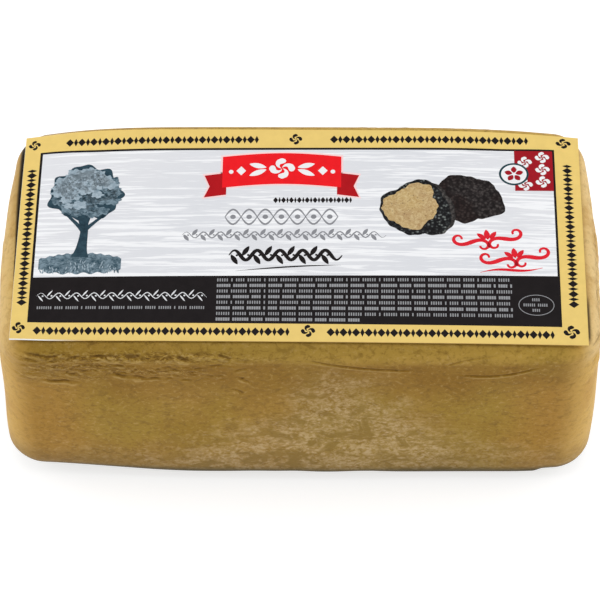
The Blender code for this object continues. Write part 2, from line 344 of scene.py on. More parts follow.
# Truffles: middles, and radii at even angles, from the right and round by the back
WHOLE_MIDDLE = (80.8, 20.6)
WHOLE_TRUFFLE = (14.4, 13.3, 13.6, 12.3, 14.3, 17.5, 17.7, 16.1, 14.5, 15.4, 15.3, 12.4, 13.8, 17.3)
CUT_MIDDLE = (55.0, 15.1)
CUT_TRUFFLE = (17.4, 16.1, 16.7, 17.2, 16.1, 14.1, 17.8, 17.7, 17.1, 16.3, 16.7, 16.2, 20.0, 19.4)
FACE_MIDDLE = (51.4, 15.6)
TRUFFLE_FACE = (13.4, 12.4, 16.1, 14.8, 11.5, 10.0, 12.6, 13.1, 12.8, 11.7, 12.4, 14.7, 12.2, 12.8)
TRUFFLE_CELLS = 40

# How far the dark skin of the cut truffle lies inside its outline, at the same angles
TRUFFLE_RIM = (2.3, 2.2, 1.6, 0, 0, 0, 0, 0, 0, 0, 0, 0, 0.6, 1.8)

# Corner panel: middles of its rosettes, and the round badge
PANEL_ROSETTES = ((115.0, 46.5), (115.0, 38.9), (115.0, 31.3), (106.6, 43.4), (106.6, 29.4))
PANEL_ROSETTE_SIZE = (3.5, 3.5)
BADGE_MIDDLE = (101.2, 36.0)
BADGE_RING = (7.1, 6.8)
BADGE_DISC = (6.1, 5.8)

# Flourish: middles of the two scrolls, their turn, how far the ends of a pen line
# curl up, and the pen line below
SCROLL_MIDDLES = ((88.0, -4.6), (100.6, -15.4))
SCROLL_TURN = 0.14
VOLUTE_CURL = 5.4
SWASH = ((84.0, -23.3), (113.0, -20.4), 0.9, 0.8)

# Ticks of the small print: their pitch and half height as shares of the height of
# the row, their half width as a share of the pitch, and how many make a group
TICK_PITCH = 0.33
TICK_HALF_HEIGHT = 0.27
TICK_HALF_WIDTH = 0.27
GROUP_TICKS = 7.0
GROUP_SCATTER = 3.0

# Small print on the band: the row under the vine, then the block of rows, whose
# last row is short and whose every second row is bold
VINE_ROW = (-121.5, -43.6, -44.0, 3.1, 2)
ROWS = 8
ROWS_LEFT = -38.6
ROWS_RIGHT = 99.6
LAST_ROW_RIGHT = 28.0
FIRST_ROW = -27.7
ROW_PITCH = 3.29
ROW_HEIGHT = 3.3
OVAL_MIDDLE = (109.5, -41.4)
OVAL = (8.3, 5.7)
OVAL_INSIDE = (7.95, 5.35)
OVAL_ROWS = ((2.1, 2.9), (6.2, 0.0), (2.1, -2.9))

# Lights: places, the places that they face, and their widths and heights
TOP_LIGHT = ((0.0, 0.25, 1.5), (0.0, 0.0, 0.05), (1.6, 1.2))
SIDE_LIGHTS = (
    ((-1.1, 0.1, 0.5), (-0.1, 0.0, 0.05), (0.9, 0.8)),
    ((1.1, 0.1, 0.5), (0.1, 0.0, 0.05), (0.9, 0.8)),
)
FLOOR_GLOW = 0.70
FLOOR_REACH = 6.0
WHITE = (1.0, 1.0, 1.0, 1.0)

# Camera, found from the label's corners and the outline
CAMERA_ELEVATION = radians(53.0)
CAMERA_DISTANCE = 1.7
CAMERA_AIM = (0.0, 0.0, 0.051)
CAMERA_ROLL = radians(0.15)
PHOTO_WIDTH = 600
FOCAL_PIXELS = 3535.0
SENSOR = 36.0
NEAREST_SEEN = 0.05


def srgb(red, green, blue):
    """Linear colour with alpha for a screen colour given from 0 to 255."""
    screen = np.array((red, green, blue)) / 255.0
    linear = np.where(screen <= 0.04045, screen / 12.92, ((screen + 0.055) / 1.055) ** 2.4)
    return (*(float(part) for part in linear), 1.0)


def colour_setting(name, description, default):
    """A colour that the panel shows."""
    return FloatVectorProperty(
        name=name, description=description, subtype="COLOR", size=4, min=0.0, max=1.0, default=default
    )


class RindLook(bpy.types.PropertyGroup):
    """Colours and relief of the rind."""

    ochre: colour_setting("Ochre", "Main colour of the walls", srgb(169, 130, 51))
    olive: colour_setting("Olive", "Greener patches", srgb(164, 131, 43))
    # Shoulder: the smooth rim's own yellower tone, with painted light where it faces up
    shoulder: colour_setting("Shoulder", "Smooth rim under the label", srgb(184, 149, 66))
    lit: colour_setting("Lit shoulder", "Golden band on the shoulder's right part", srgb(202, 163, 78))
    brown: colour_setting("Brown", "Band under the shoulder, and patches", srgb(148, 109, 34))
    amber: colour_setting("Amber", "Warm patches near the ends", srgb(174, 128, 48))
    # Golden: the ends' own yellower tone, with painted light from the side lamps
    golden_and_lit_ends: colour_setting("Golden", "Light ends and corners", srgb(206, 166, 86))
    # Pale: painted highlight on the highest places of the ends
    pale: colour_setting("Pale", "Palest part of the ends, near the top", srgb(232, 212, 170))
    dark: colour_setting("Dark", "Mottling between the flecks", srgb(120, 88, 30))
    # Fleck colour: small light flecks of the rind, and painted highlight on the lips of furrows
    fleck_and_highlight: colour_setting("Fleck", "Small light flecks and the lips of furrows", srgb(210, 176, 108))
    bloom: colour_setting("Bloom", "Pale dry bloom low on the walls", srgb(200, 172, 126))
    gap: colour_setting("Gap", "Bare olive patches in the bloom", srgb(140, 111, 45))
    # Crease colour: painted shade in the furrows and in the small furrows of the ragged skin
    crease: colour_setting("Crease", "Dirt in the furrows", srgb(102, 68, 20))
    # Painted shade near the foot, greyer towards the floor
    foot_shade: colour_setting("Soil", "Grey tinge near the foot", srgb(104, 84, 54))
    # Foot colour: painted contact shadow along the foot, where the loaf stands on the floor
    foot: colour_setting("Foot", "Dark line at the foot", srgb(62, 54, 20))
    shade: colour_setting("Shade", "Shadow under the label's edge", srgb(14, 6, 0))
    wrinkle_depth: FloatProperty(
        name="Wrinkle depth",
        description="Depth of the fine wrinkles under the shoulder",
        default=0.0005,
        unit="LENGTH",
    )
    roughness: FloatProperty(
        name="Roughness",
        description="Dullness of the rind",
        default=0.5,
        subtype="FACTOR",
    )


class LabelLook(bpy.types.PropertyGroup):
    """Colours of the paper and of the inks."""

    paper: colour_setting("Paper", "Cut edge of the sheet at its left end", srgb(244, 243, 240))
    tan: colour_setting("Tan", "Cut edge of the rest of the sheet", srgb(214, 180, 108))
    gold: colour_setting("Gold", "Ground of the border", srgb(233, 202, 119))
    silver: colour_setting("Silver", "Ground of the upper field", srgb(224, 225, 229))
    dull_silver: colour_setting("Dull silver", "Broad patches of the field", srgb(219, 221, 226))
    streak: colour_setting("Streak", "White streaks of the field", srgb(246, 247, 249))
    black: colour_setting("Black", "Frame line, lower field and marks", srgb(30, 26, 27))
    red: colour_setting("Red", "Ribbon of the banner", srgb(237, 28, 36))
    deep_red: colour_setting("Deep red", "Tails of the banner", srgb(176, 20, 28))
    rose: colour_setting("Rose", "Outline of the banner", srgb(248, 214, 214))
    pen_red: colour_setting("Pen red", "Flourish", srgb(222, 36, 50))
    crimson: colour_setting("Crimson", "Corner panel", srgb(158, 24, 36))
    teal: colour_setting("Teal", "Ring of the badge", srgb(30, 64, 72))
    grey: colour_setting("Grey", "Fine ornament lines", srgb(138, 139, 144))
    band_grey: colour_setting("Band grey", "Small print on the black band", srgb(150, 151, 154))
    band_white: colour_setting("Band white", "Vine on the black band", srgb(226, 228, 230))
    white: colour_setting("White", "Marks on red fields", srgb(238, 238, 240))
    ink: colour_setting("Tree ink", "Darkest tone of the tree picture", srgb(38, 58, 70))
    slate: colour_setting("Slate", "Dark tone of the tree picture", srgb(52, 76, 88))
    steel: colour_setting("Steel", "Middle tone of the tree picture", srgb(128, 148, 160))
    haze: colour_setting("Haze", "Light tone of the tree picture", srgb(140, 158, 170))
    mist: colour_setting("Mist", "Lightest tone of the tree picture", srgb(170, 186, 196))
    flesh: colour_setting("Truffle flesh", "Cut face of the truffle", srgb(182, 153, 110))
    skin: colour_setting("Truffle skin", "Outside of the whole truffle", srgb(40, 35, 35))


class StageLook(bpy.types.PropertyGroup):
    """Floor and lights of the studio."""

    floor: colour_setting("Floor", "Colour of the floor", (0.5, 0.5, 0.5, 1.0))
    world: FloatProperty(name="Room light", description="Strength of the white surroundings", default=0.38)
    top_power: FloatProperty(
        name="Top light",
        description="Power of the light overhead",
        default=9.6,
        unit="POWER",
    )
    side_power: FloatProperty(
        name="Side lights",
        description="Power of each side light",
        default=6.2,
        unit="POWER",
    )


def ease(value):
    """Smooth rise from 0 to 1 as the value goes from 0 to 1."""
    limited = np.clip(value, 0.0, 1.0)
    return limited * limited * (3.0 - 2.0 * limited)


def grown(value, stretch):
    """Smooth rise from 0 to 1 over a stretch, given as its start and its length."""
    start, length = stretch
    return ease((value - start) / length)


def lattice(cells, seed):
    """Repeatable values from -1 to 1 at whole-numbered places."""
    angle = sum(cell * way for cell, way in zip(cells, NOISE_WAYS)) + seed * NOISE_SEED
    mixed = np.sin(angle) * NOISE_SIZE
    return 2.0 * (mixed - np.floor(mixed)) - 1.0


def noise(x, y, z, seed):
    """Smooth noise: values at the eight corners of a cell, blended by eased parts."""
    places = np.stack(np.broadcast_arrays(x, y, z))
    cells = np.floor(places)
    parts = ease(places - cells)
    total = np.zeros_like(places[0])
    for corner in product((0, 1), repeat=3):
        offset = np.array(corner).reshape(3, *[1] * total.ndim)
        weights = np.where(offset == 1, parts, 1.0 - parts)
        total += np.prod(weights, axis=0) * lattice(cells + offset, seed)
    return total


def plan_frame(x, y):
    """Outward direction in plan, and distance inside the brick's outline."""
    over_x = np.abs(x) - (HALF_LENGTH - CORNER_RADIUS)
    over_y = np.abs(y) - (HALF_DEPTH - CORNER_RADIUS)
    out_x = np.maximum(over_x, 0.0)
    out_y = np.maximum(over_y, 0.0)
    reach = np.hypot(out_x, out_y)
    inset = CORNER_RADIUS - reach - np.minimum(np.maximum(over_x, over_y), 0.0)
    length = np.maximum(reach, TINY)
    in_corner = reach > TINY
    end_side = over_x > over_y
    along_x = np.where(in_corner, out_x / length, end_side) * np.sign(x)
    along_y = np.where(in_corner, out_y / length, ~end_side) * np.sign(y)
    return along_x, along_y, inset


def profile_frame(inset, z):
    """Tilt of the surface from the wall, and height measured over the rims."""
    top_start = HEIGHT - TOP_RIM
    up = np.arctan2(z - top_start, np.maximum(TOP_RIM - inset, TINY))
    down = np.arctan2(z - BASE_RIM, np.maximum(BASE_RIM - inset, TINY))
    above = z > top_start + TINY
    below = z < BASE_RIM - TINY
    tilt = np.where(above, up, np.where(below, down, 0.0))
    tilt = np.where(above & (inset > TOP_RIM - TINY), pi / 2, tilt)
    tilt = np.where(below & (inset > BASE_RIM - TINY), -pi / 2, tilt)
    over_top = top_start + TOP_RIM * tilt
    under = BASE_RIM + BASE_RIM * tilt
    height = np.where(above, over_top, np.where(below, under, z))
    return tilt, height


def crease_depth(along, height):
    """Furrows with a raised lip below them, summed at places on one wall.

    A ragged furrow also wanders up and down and changes its depth along its
    way, by noise along the wall.
    """
    wander = RAGGED_SHIFT * noise(along / RAGGED_WAVE, height / WANDER_ROWS, 0.0, 31)
    swell = SWELL[0] + SWELL[1] * noise(along / RAGGED_WAVE, height / SWELL_ROWS, 0.0, 32)
    total = np.zeros_like(along)
    for start, low, end, high, sag, depth, width in CREASES:
        ragged = start < RAGGED_UNTIL
        width_share, depth_share = RAGGED_SHARES if ragged else FOLD_SHARES
        part = (along - start) / (end - start)
        line = low + (high - low) * part + 4.0 * sag * part * (1.0 - part) + wander * ragged
        fade = depth_share * ease(part / CREASE_END) * ease((1.0 - part) / CREASE_END)
        fade = fade * swell if ragged else fade
        width = width * width_share
        furrow = np.exp(-(((height - line) / width) ** 2))
        lip = np.exp(-(((height - line + LIP_OFFSET * width) / (LIP_WIDTH * width)) ** 2))
        total += depth * fade * (LIP_HEIGHT * lip - furrow)
    return total


def ragged_skin(along, height):
    """How ragged the skin is: soft-edged ovals on the upper wall."""
    total = np.zeros_like(along)
    for middle, line, half_length, half_height, strength in RAGGED_PATCHES:
        away = ((along - middle) / half_length) ** 4 + ((height - line) / half_height) ** 2
        total = np.maximum(total, strength * np.exp(-away))
    return total


def picks(count, part, seed):
    """Repeatable values from 0 to 1, one for each of a count of things."""
    number = np.arange(count, dtype=float)
    return 0.5 + 0.5 * lattice((number, np.full(count, float(part)), np.zeros(count)), seed)


def wrinkles(along, height, seed):
    """Many short, nearly level furrows in ragged rows, each with a lip below it."""
    pick = [picks(WRINKLE_COUNT, part, seed) for part in range(1, 7)]
    start, end = WRINKLE_ALONG
    shortest, more = WRINKLE_HALF_LENGTH
    shallowest, deeper = WRINKLE_DEPTHS
    lip_height, lip_offset, lip_width = WRINKLE_LIP
    rows = np.array(WRINKLE_ROWS)[(pick[0] * len(WRINKLE_ROWS)).astype(int)]
    middles = start + (end - start) * pick[1] ** WRINKLE_CROWDING
    lines = rows + WRINKLE_SCATTER * (pick[2] - 0.5)
    halves = shortest + more * pick[3] ** 2
    slopes = WRINKLE_SLOPE * (2.0 * pick[4] - 1.0)
    depths = shallowest + deeper * pick[5]
    total = np.zeros_like(along)
    for middle, line, half, slope, depth in zip(middles, lines, halves, slopes, depths):
        away = along - middle
        above = (height - line - slope * away) / WRINKLE_WIDTH
        near = (np.abs(away) < WRINKLE_REACH[0] * half) & (np.abs(above) < WRINKLE_REACH[1])
        reach = depth * np.exp(-((away[near] / half) ** 4))
        lip = np.exp(-(((above[near] + lip_offset) / lip_width) ** 2))
        total[near] += reach * (lip_height * lip - np.exp(-(above[near] ** 2)))
    return np.clip(total, *WRINKLE_LIMITS)


def side_relief(x, y, height, along_x, along_y, wrinkle_depth):
    """Creases, lumps and raggedness of all four walls; the ends and the back repeat the front's."""
    sides = (
        (np.clip(-along_y, 0.0, 1.0) ** 4, x, 1),
        (np.clip(along_y, 0.0, 1.0) ** 4, -x, 2),
        (np.clip(along_x, 0.0, 1.0) ** 4, y - RIGHT_END_SHIFT, 3),
        (np.clip(-along_x, 0.0, 1.0) ** 4, LEFT_END_SHIFT - y, 4),
    )
    relief = np.zeros_like(height)
    ragged = np.zeros_like(height)
    for weight, along, seed in sides:
        relief += weight * crease_depth(along, height)
        relief += weight * wrinkle_depth * wrinkles(along, height, seed)
        ragged += weight * ragged_skin(along, height) * (1.0 if seed < 3 else END_RAGGEDNESS)
    lumps = np.sin(x / LONG_LUMPS[0] + LUMP_PHASES[0]) * np.sin(height / LONG_LUMPS[1] + LUMP_PHASES[1])
    short = np.sin((x + y) / SHORT_LUMPS[0] + LUMP_PHASES[2])
    lumps += short * np.sin(height / SHORT_LUMPS[1] + y / SHORT_LUMPS[2])
    return relief, LUMPS * lumps, ragged


def label_shadow(x, y, z):
    """Closeness to the label's edge, which the rind darkens under.

    Along the front the shadow is faint, it weakens to the right, and it ends
    before the two corners. Along the right edge it is a thin line, strong only
    near the front. Along the left edge it is deep and has a faint fringe,
    because the paper stands off the loaf towards the back, and it narrows to
    nothing towards the front.
    """
    turned_x = x * np.cos(LABEL_TURN) + (y - LABEL_SHIFT) * np.sin(LABEL_TURN)
    turned_y = (y - LABEL_SHIFT) * np.cos(LABEL_TURN) - x * np.sin(LABEL_TURN)
    out_x = np.maximum(np.abs(turned_x) - LABEL_LENGTH / 2, 0.0)
    out_y = np.maximum(np.abs(turned_y) - LABEL_DEPTH / 2, 0.0)
    away = np.hypot(out_x, out_y)
    below = np.maximum(FRONT_SHADE_TOP - z, 0.0)
    front = FRONT_SHADE - FRONT_SHADE_LOSS * grown(turned_x, FRONT_LOSS_STRETCH)
    front *= np.exp(-((np.hypot(away, below) / FRONT_SHADE_REACH) ** 2))
    front *= grown(-turned_y, FRONT_SIDE_STRETCH) * grown(-np.abs(turned_x), FRONT_ENDS_STRETCH)
    left = grown(-turned_x, LEFT_EDGE_STRETCH) * grown(turned_y, LEFT_BACK_STRETCH)
    deep = np.exp(-((away / (DEEP_REACH * left + DEEP_LEAST_REACH)) ** 4)) * ease(left / DEEP_FROM)
    fringe = FRINGE_SHADE * left * np.exp(-((away / FRINGE_REACH) ** 2))
    along_right = (turned_x - LABEL_LENGTH / 2 - RIGHT_SHADE_OFFSET) / RIGHT_SHADE_REACH
    right = RIGHT_SHADE[0] + RIGHT_SHADE[1] * grown(-turned_y, RIGHT_CORNER_STRETCH)
    right *= np.exp(-(along_right**2)) * grown(turned_y, RIGHT_FRONT_STRETCH)
    shadow = np.maximum(np.maximum(front, right), np.maximum(deep, fringe))
    return shadow * grown(z, SHADOW_STRETCH)


def bloom_reach(x, y, z, along_y):
    """Where the dry bloom lies: an arch on the long sides, highest right of the middle.

    A strip of it runs along the foot, the left part has less, and so have the ends.
    """
    foot, rise, middle, spread = BLOOM_EDGE
    along = np.where(along_y > 0.0, -x, x)
    edge = foot + rise * np.exp(-(((along - middle) / spread) ** 2))
    for height, length, step_up, seed in BLOOM_WAVES:
        edge += height * noise(x / length, y / length, z / step_up, seed)
    inside = ease((edge - z) / BLOOM_FADE + BLOOM_LEAD)
    inside *= LEFT_BLOOM + (1.0 - LEFT_BLOOM) * grown(along, BLOOM_STRETCH)
    low = LOW_BLOOM * ease((LOW_BLOOM_HEIGHT - z) / LOW_BLOOM_FADE) * grown(along, LOW_BLOOM_STRETCH)
    facing = np.clip(np.abs(along_y), 0.0, 1.0) ** 2
    return np.maximum(inside, low) * (END_BLOOM + (1.0 - END_BLOOM) * facing)


def corner_sum(x, y, half_x, half_y, amounts, reach):
    """Amounts that fade away from the corners of a rectangle."""
    total = np.zeros_like(x)
    for side, end, amount in amounts:
        away = (x - side * half_x) ** 2 + (y - end * half_y) ** 2
        total += amount * np.exp(-away / reach**2)
    return total


def top_rise(x, y):
    """Crown of the top, which drops towards the ends and the back corners."""
    along = x / HALF_LENGTH
    back_part = grown(y / HALF_DEPTH, BACK_DROP_STRETCH)
    far = np.clip((np.abs(x) - DROP_FROM) / DROP_SPAN, 0.0, None)
    drop = (FRONT_DROP + (BACK_DROP - FRONT_DROP) * back_part) * far**2
    falls = corner_sum(x, y, HALF_LENGTH, HALF_DEPTH, CORNER_FALLS, CORNER_REACH)
    return CROWN * (1.0 - along**2) - drop - falls


def end_growth(x, amounts):
    """Sum of amounts that grow towards one end of the loaf or the other."""
    return sum(amount * grown(end * x, stretch) for end, amount, stretch in amounts)


def rim_wave(x):
    """Small waves along the lower rim."""
    return sum(rise * np.exp(-(((x - place) / width) ** 2)) for place, width, rise in RIM_WAVES)


def wall_offset(x, y, z, along_x, along_y):
    """How far the walls swell, draw in and taper from the plain brick."""
    along = np.abs(x / HALF_LENGTH)
    across = y / HALF_DEPTH
    part = np.clip(z / HEIGHT, 0.0, 1.0)
    front = np.clip(-along_y, 0.0, 1.0) ** 2
    back = np.clip(along_y, 0.0, 1.0) ** 2
    to_back = BACK_DRAW_IN[0] * across + BACK_DRAW_IN[1] * across**2
    draw_in = np.where(across > 0.0, to_back, FRONT_DRAW_IN * across**2)
    swell = BELLY * 4.0 * part * (1.0 - part)
    barrel = BARREL * (front + back) * along**3
    ends_in = along_x**2 * (draw_in + TAPER * (1.0 - part) ** 1.5)
    return swell - barrel - ends_in - front * (1.0 - part) * end_growth(x, UNDERCUTS)


def shaped(x, y, z, wrinkle_depth):
    """Move places on the plain rounded brick to the surface of the loaf.

    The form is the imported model's, with the fine wrinkles added. The depth of
    the creases and the raggedness of the skin are returned with the places,
    for the colour of the rind.
    """
    along_x, along_y, inset = plan_frame(x, y)
    tilt, height = profile_frame(inset, z)
    part = np.clip(z / HEIGHT, 0.0, 1.0)
    creases, lumps, ragged = side_relief(x, y, height, along_x, along_y, wrinkle_depth)
    offset = wall_offset(x, y, z, along_x, along_y) + creases + lumps
    offset *= np.cos(tilt) ** 2
    on_rim = np.exp(-(((z - WAVE_HEIGHT) / WAVE_REACH) ** 2)) * ease((tilt + pi / 2) / WAVE_TILT)
    lift = end_growth(x, BASE_LIFTS) * (1.0 - part) ** 2 + rim_wave(x) * on_rim
    lift += top_rise(x, y) * grown(part, TOP_STRETCH)
    flat = np.cos(tilt) * offset
    places = np.stack((x + flat * along_x, y + flat * along_y, z + np.sin(tilt) * offset + lift), axis=-1)
    return places, creases * np.cos(tilt) ** 2, ragged


def plan_ring():
    """Corner middle and outward angle of each place round the plan.

    The outline is a rectangle of corner middles with quarter circles about
    them. Each side moves the middle along at a steady angle, and each corner
    turns the angle by a quarter about a steady middle.
    """
    reach_x = HALF_LENGTH - CORNER_RADIUS
    reach_y = HALF_DEPTH - CORNER_RADIUS
    middles = np.array(((-reach_x, -reach_y), (reach_x, -reach_y), (reach_x, reach_y), (-reach_x, reach_y)))
    steps = (FRONT_STEP, OTHER_STEP, OTHER_STEP, OTHER_STEP)
    centres = []
    angles = []
    for side, step in enumerate(steps):
        start = middles[side]
        end = middles[(side + 1) % 4]
        angle = (side - 1) * pi / 2
        count = round(float(np.linalg.norm(end - start)) / step)
        share = np.linspace(0.0, 1.0, count, endpoint=False)[:, None]
        turn = np.linspace(0.0, pi / 2, CORNER_STEPS, endpoint=False)
        centres += [start + (end - start) * share, np.repeat(end[None], CORNER_STEPS, axis=0)]
        angles += [np.full(count, angle), angle + turn]
    return np.concatenate(centres), np.concatenate(angles)


def wall_profile():
    """Inset, height and plan scale of each row, from the base's middle to the top's.

    The base and the top are the plan drawn in towards its middle, the rims are
    quarter circles, and the wall is finest where it is creased.
    """
    scales = np.array(CAP_SCALES)
    base_turn = np.linspace(-pi / 2, 0.0, BASE_RIM_STEPS, endpoint=False)
    top_turn = np.linspace(0.0, pi / 2, TOP_RIM_STEPS + 1)
    top_start = HEIGHT - TOP_RIM
    low_count = round((CREASED_FROM - BASE_RIM) / LOW_WALL_STEP)
    high_count = round((top_start - CREASED_FROM) / HIGH_WALL_STEP)
    low = np.linspace(BASE_RIM, CREASED_FROM, low_count, endpoint=False)
    high = np.linspace(CREASED_FROM, top_start, high_count, endpoint=False)
    wall = np.concatenate((low, high))
    insets = (
        np.full(len(scales), BASE_RIM),
        BASE_RIM * (1.0 - np.cos(base_turn)),
        np.zeros(len(wall)),
        TOP_RIM * (1.0 - np.cos(top_turn)),
        np.full(len(scales), TOP_RIM),
    )
    heights = (
        np.zeros(len(scales)),
        BASE_RIM * (1.0 + np.sin(base_turn)),
        wall,
        top_start + TOP_RIM * np.sin(top_turn),
        np.full(len(scales), HEIGHT),
    )
    drawn_in = (scales[::-1], np.ones(len(base_turn) + len(wall) + len(top_turn)), scales)
    return np.concatenate(insets), np.concatenate(heights), np.concatenate(drawn_in)


def loaf_surface(wrinkle_depth):
    """Points and faces of the whole loaf, and the values that colour its rind.

    Rows of the profile are carried round the plan's ring, and the middle of
    the base and of the top are closed by a fan round one point each. The
    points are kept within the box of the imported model.
    """
    centres, angles = plan_ring()
    insets, heights, scales = wall_profile()
    reach = CORNER_RADIUS - insets[:, None]
    x = scales[:, None] * (centres[:, 0] + reach * np.cos(angles))
    y = scales[:, None] * (centres[:, 1] + reach * np.sin(angles))
    z = np.broadcast_to(heights[:, None], x.shape)
    rows, columns = x.shape
    poles = (np.zeros(2), np.zeros(2), np.array((0.0, HEIGHT)))
    flat = [np.concatenate((grid.ravel(), pole)) for grid, pole in zip((x, y, z), poles)]
    points, creases, ragged = shaped(*flat, wrinkle_depth)
    points = np.clip(points, *np.array(cad_box))
    along_y = plan_frame(flat[0], flat[1])[1]
    values = {
        "crease": creases / MM,
        "ragged": ragged,
        "contact": label_shadow(*points.T),
        "bloomed": bloom_reach(*points.T, along_y),
    }
    index = np.arange(rows * columns).reshape(rows, columns)
    after = np.roll(index, -1, axis=1)
    quads = np.stack((index[:-1], after[:-1], after[1:], index[1:]), axis=-1).reshape(-1, 4)
    base_pole = np.full(columns, rows * columns)
    base_fan = np.stack((base_pole, after[0], index[0]), axis=-1)
    top_fan = np.stack((base_pole + 1, index[-1], after[-1]), axis=-1)
    faces = quads.tolist() + base_fan.tolist() + top_fan.tolist()
    return points, faces, values


def label_place(across, back):
    """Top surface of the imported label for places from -1 to 1 along its two sides."""
    flat_x = across * LABEL_LENGTH / 2
    flat_y = back * LABEL_DEPTH / 2
    slant = LABEL_SLANT * (1.0 - across) * (1.0 + back) / 4
    x = flat_x * np.cos(LABEL_TURN) - flat_y * np.sin(LABEL_TURN) + slant
    y = flat_x * np.sin(LABEL_TURN) + flat_y * np.cos(LABEL_TURN) + LABEL_SHIFT
    bends = corner_sum(flat_x, flat_y, LABEL_LENGTH / 2, LABEL_DEPTH / 2, LABEL_BENDS, LABEL_REACH)
    z = HEIGHT + top_rise(x, y) + LABEL_GAP + LABEL_THICKNESS - bends
    return x, y, z


def print_place(x, y):
    """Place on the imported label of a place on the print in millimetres.

    Lines of the print rise to the right by a skew that grows from nothing
    above the lowest line, and turn up a little at the two far corners.
    """
    share = np.clip((y - SKEW_FROM) / SKEW_SPAN, 0.0, 1.0)
    far = grown(np.abs(x), CORNER_RISE_ALONG) * grown(y, CORNER_RISE_BACK)
    skewed = y + PRINT_SKEW * x * share + CORNER_RISE * far
    return label_place(x * MM * 2.0 / LABEL_LENGTH, skewed * MM * 2.0 / LABEL_DEPTH)


def grid_quads(index):
    """Quads between the neighbours of a grid of point numbers."""
    low, high = index[:-1], index[1:]
    return np.stack((low[:, :-1], low[:, 1:], high[:, 1:], high[:, :-1]), axis=-1).reshape(-1, 4)


def closed_sheets(place, x, y, low, high):
    """Points and quads of thin closed bodies over grids of places.

    The last two axes of x and y are the grid's rows and columns. Each body has
    the grid at its lower and at its upper height, and a wall round its edge.
    """
    x = x.reshape(-1, *x.shape[-2:])
    y = y.reshape(-1, *y.shape[-2:])
    count, rows, columns = x.shape
    surface = np.stack(place(x, y), axis=-1)
    shift = np.array((0.0, 0.0, 1.0))
    points = np.stack((surface + low * shift, surface + high * shift), axis=1)
    index = np.arange(rows * columns).reshape(rows, columns)
    top = grid_quads(index)
    edge = np.concatenate((index[0, :-1], index[:-1, -1], index[-1, :0:-1], index[:0:-1, 0]))
    after = np.roll(edge, -1)
    lift = rows * columns
    walls = np.stack((edge, after, after + lift, edge + lift), axis=-1)
    one = np.concatenate((top[:, ::-1], top + lift, walls))
    starts = np.arange(count)[:, None, None] * 2 * lift
    return points.reshape(-1, 3), (one[None] + starts).reshape(-1, 4)


def rectangle(left, right, low, high, cells_x=1, cells_y=1):
    """Even grid over a rectangle."""
    return np.meshgrid(np.linspace(left, right, cells_x + 1), np.linspace(low, high, cells_y + 1))


def disc(cells=10):
    """Grid over a disc of radius 1: a square whose sides are bent to the circle."""
    u, v = rectangle(-1.0, 1.0, -1.0, 1.0, cells, cells)
    return u * np.sqrt(1.0 - v * v / 2.0), v * np.sqrt(1.0 - u * u / 2.0)


def blob(middle, size, lobes=(), turn=0.0, cells=10):
    """Disc stretched to half its width and height, with lobes as (waves, depth, phase)."""
    u, v = disc(cells)
    angle = np.arctan2(v, u)
    swell = 1.0 + sum(depth * np.cos(waves * angle + phase) for waves, depth, phase in lobes)
    u, v = u * swell * size[0], v * swell * size[1]
    return middle[0] + u * np.cos(turn) - v * np.sin(turn), middle[1] + u * np.sin(turn) + v * np.cos(turn)


def pebble(middle, radii, cells, bumps):
    """Disc whose radius runs straight between radii at even angles, with bumps of a given size."""
    u, v = disc(cells)
    around = np.arctan2(v, u) / (2.0 * pi) * len(radii)
    low = np.floor(around).astype(int) % len(radii)
    part = around - np.floor(around)
    edge = np.array(radii)
    radius = edge[low] + (edge[(low + 1) % len(radii)] - edge[low]) * part
    radius = radius + bumps * (np.sin(4.3 * around) + 0.8 * np.sin(9.1 * around + 1.0))
    return middle[0] + radius * u, middle[1] + radius * v


def stroke(x, y, half_width):
    """Strip of a pen along a path, set off by its half width on both sides."""
    run = np.hypot(np.gradient(x), np.gradient(y))
    side_x = -np.gradient(y) / run * half_width
    side_y = np.gradient(x) / run * half_width
    sides = np.array((-1.0, 0.0, 1.0))[:, None]
    return x + sides * side_x, y + sides * side_y


def leaf(start, end, half_width, cells=8):
    """Pointed oval from one place to another, widest in its middle."""
    share = np.linspace(0.02, 0.98, cells + 1)
    x = start[0] + (end[0] - start[0]) * share
    y = start[1] + (end[1] - start[1]) * share
    return stroke(x, y, half_width * np.sin(pi * share) ** 0.8)


def comma(middle, size, turn):
    """One head of the rosette, from its tail at the middle to its round end.

    At a distance r from the middle the head lies between two angles: the outer
    one is on a circle as wide as the radius, and the inner one is on a circle
    of half that size, which it leaves hollow near the tail and fills beyond.
    """
    r = np.linspace(0.06, 0.996, 13)
    outer = np.arccos(r)
    hollow = HOLLOW * np.arccos(np.clip(2.0 * r, 0.0, 1.0))
    filled = -FULLNESS * np.arccos(np.clip((2.0 * r * r + 1.0) / (3.0 * r), -1.0, 1.0))
    inner = np.where(r < 0.5, hollow, filled)
    share = np.linspace(0.0, 1.0, 4)[:, None]
    angle = turn + inner + (outer - inner) * share
    return middle[0] + size[0] * r * np.cos(angle), middle[1] + size[1] * r * np.sin(angle)


def rosette(middle, size):
    """Four comma heads, a quarter turn apart."""
    return [comma(middle, size, quarter * pi / 2) for quarter in range(4)]


def new_object(name, points, faces, material, smooth):
    """Object at the origin whose mesh holds the given points and faces."""
    mesh = bpy.data.meshes.new(name)
    mesh.from_pydata(points, [], faces)
    mesh.polygons.foreach_set("use_smooth", np.full(len(mesh.polygons), smooth))
    mesh.materials.append(material)
    piece = bpy.data.objects.new(name, mesh)
    bpy.context.scene.collection.objects.link(piece)
    return piece


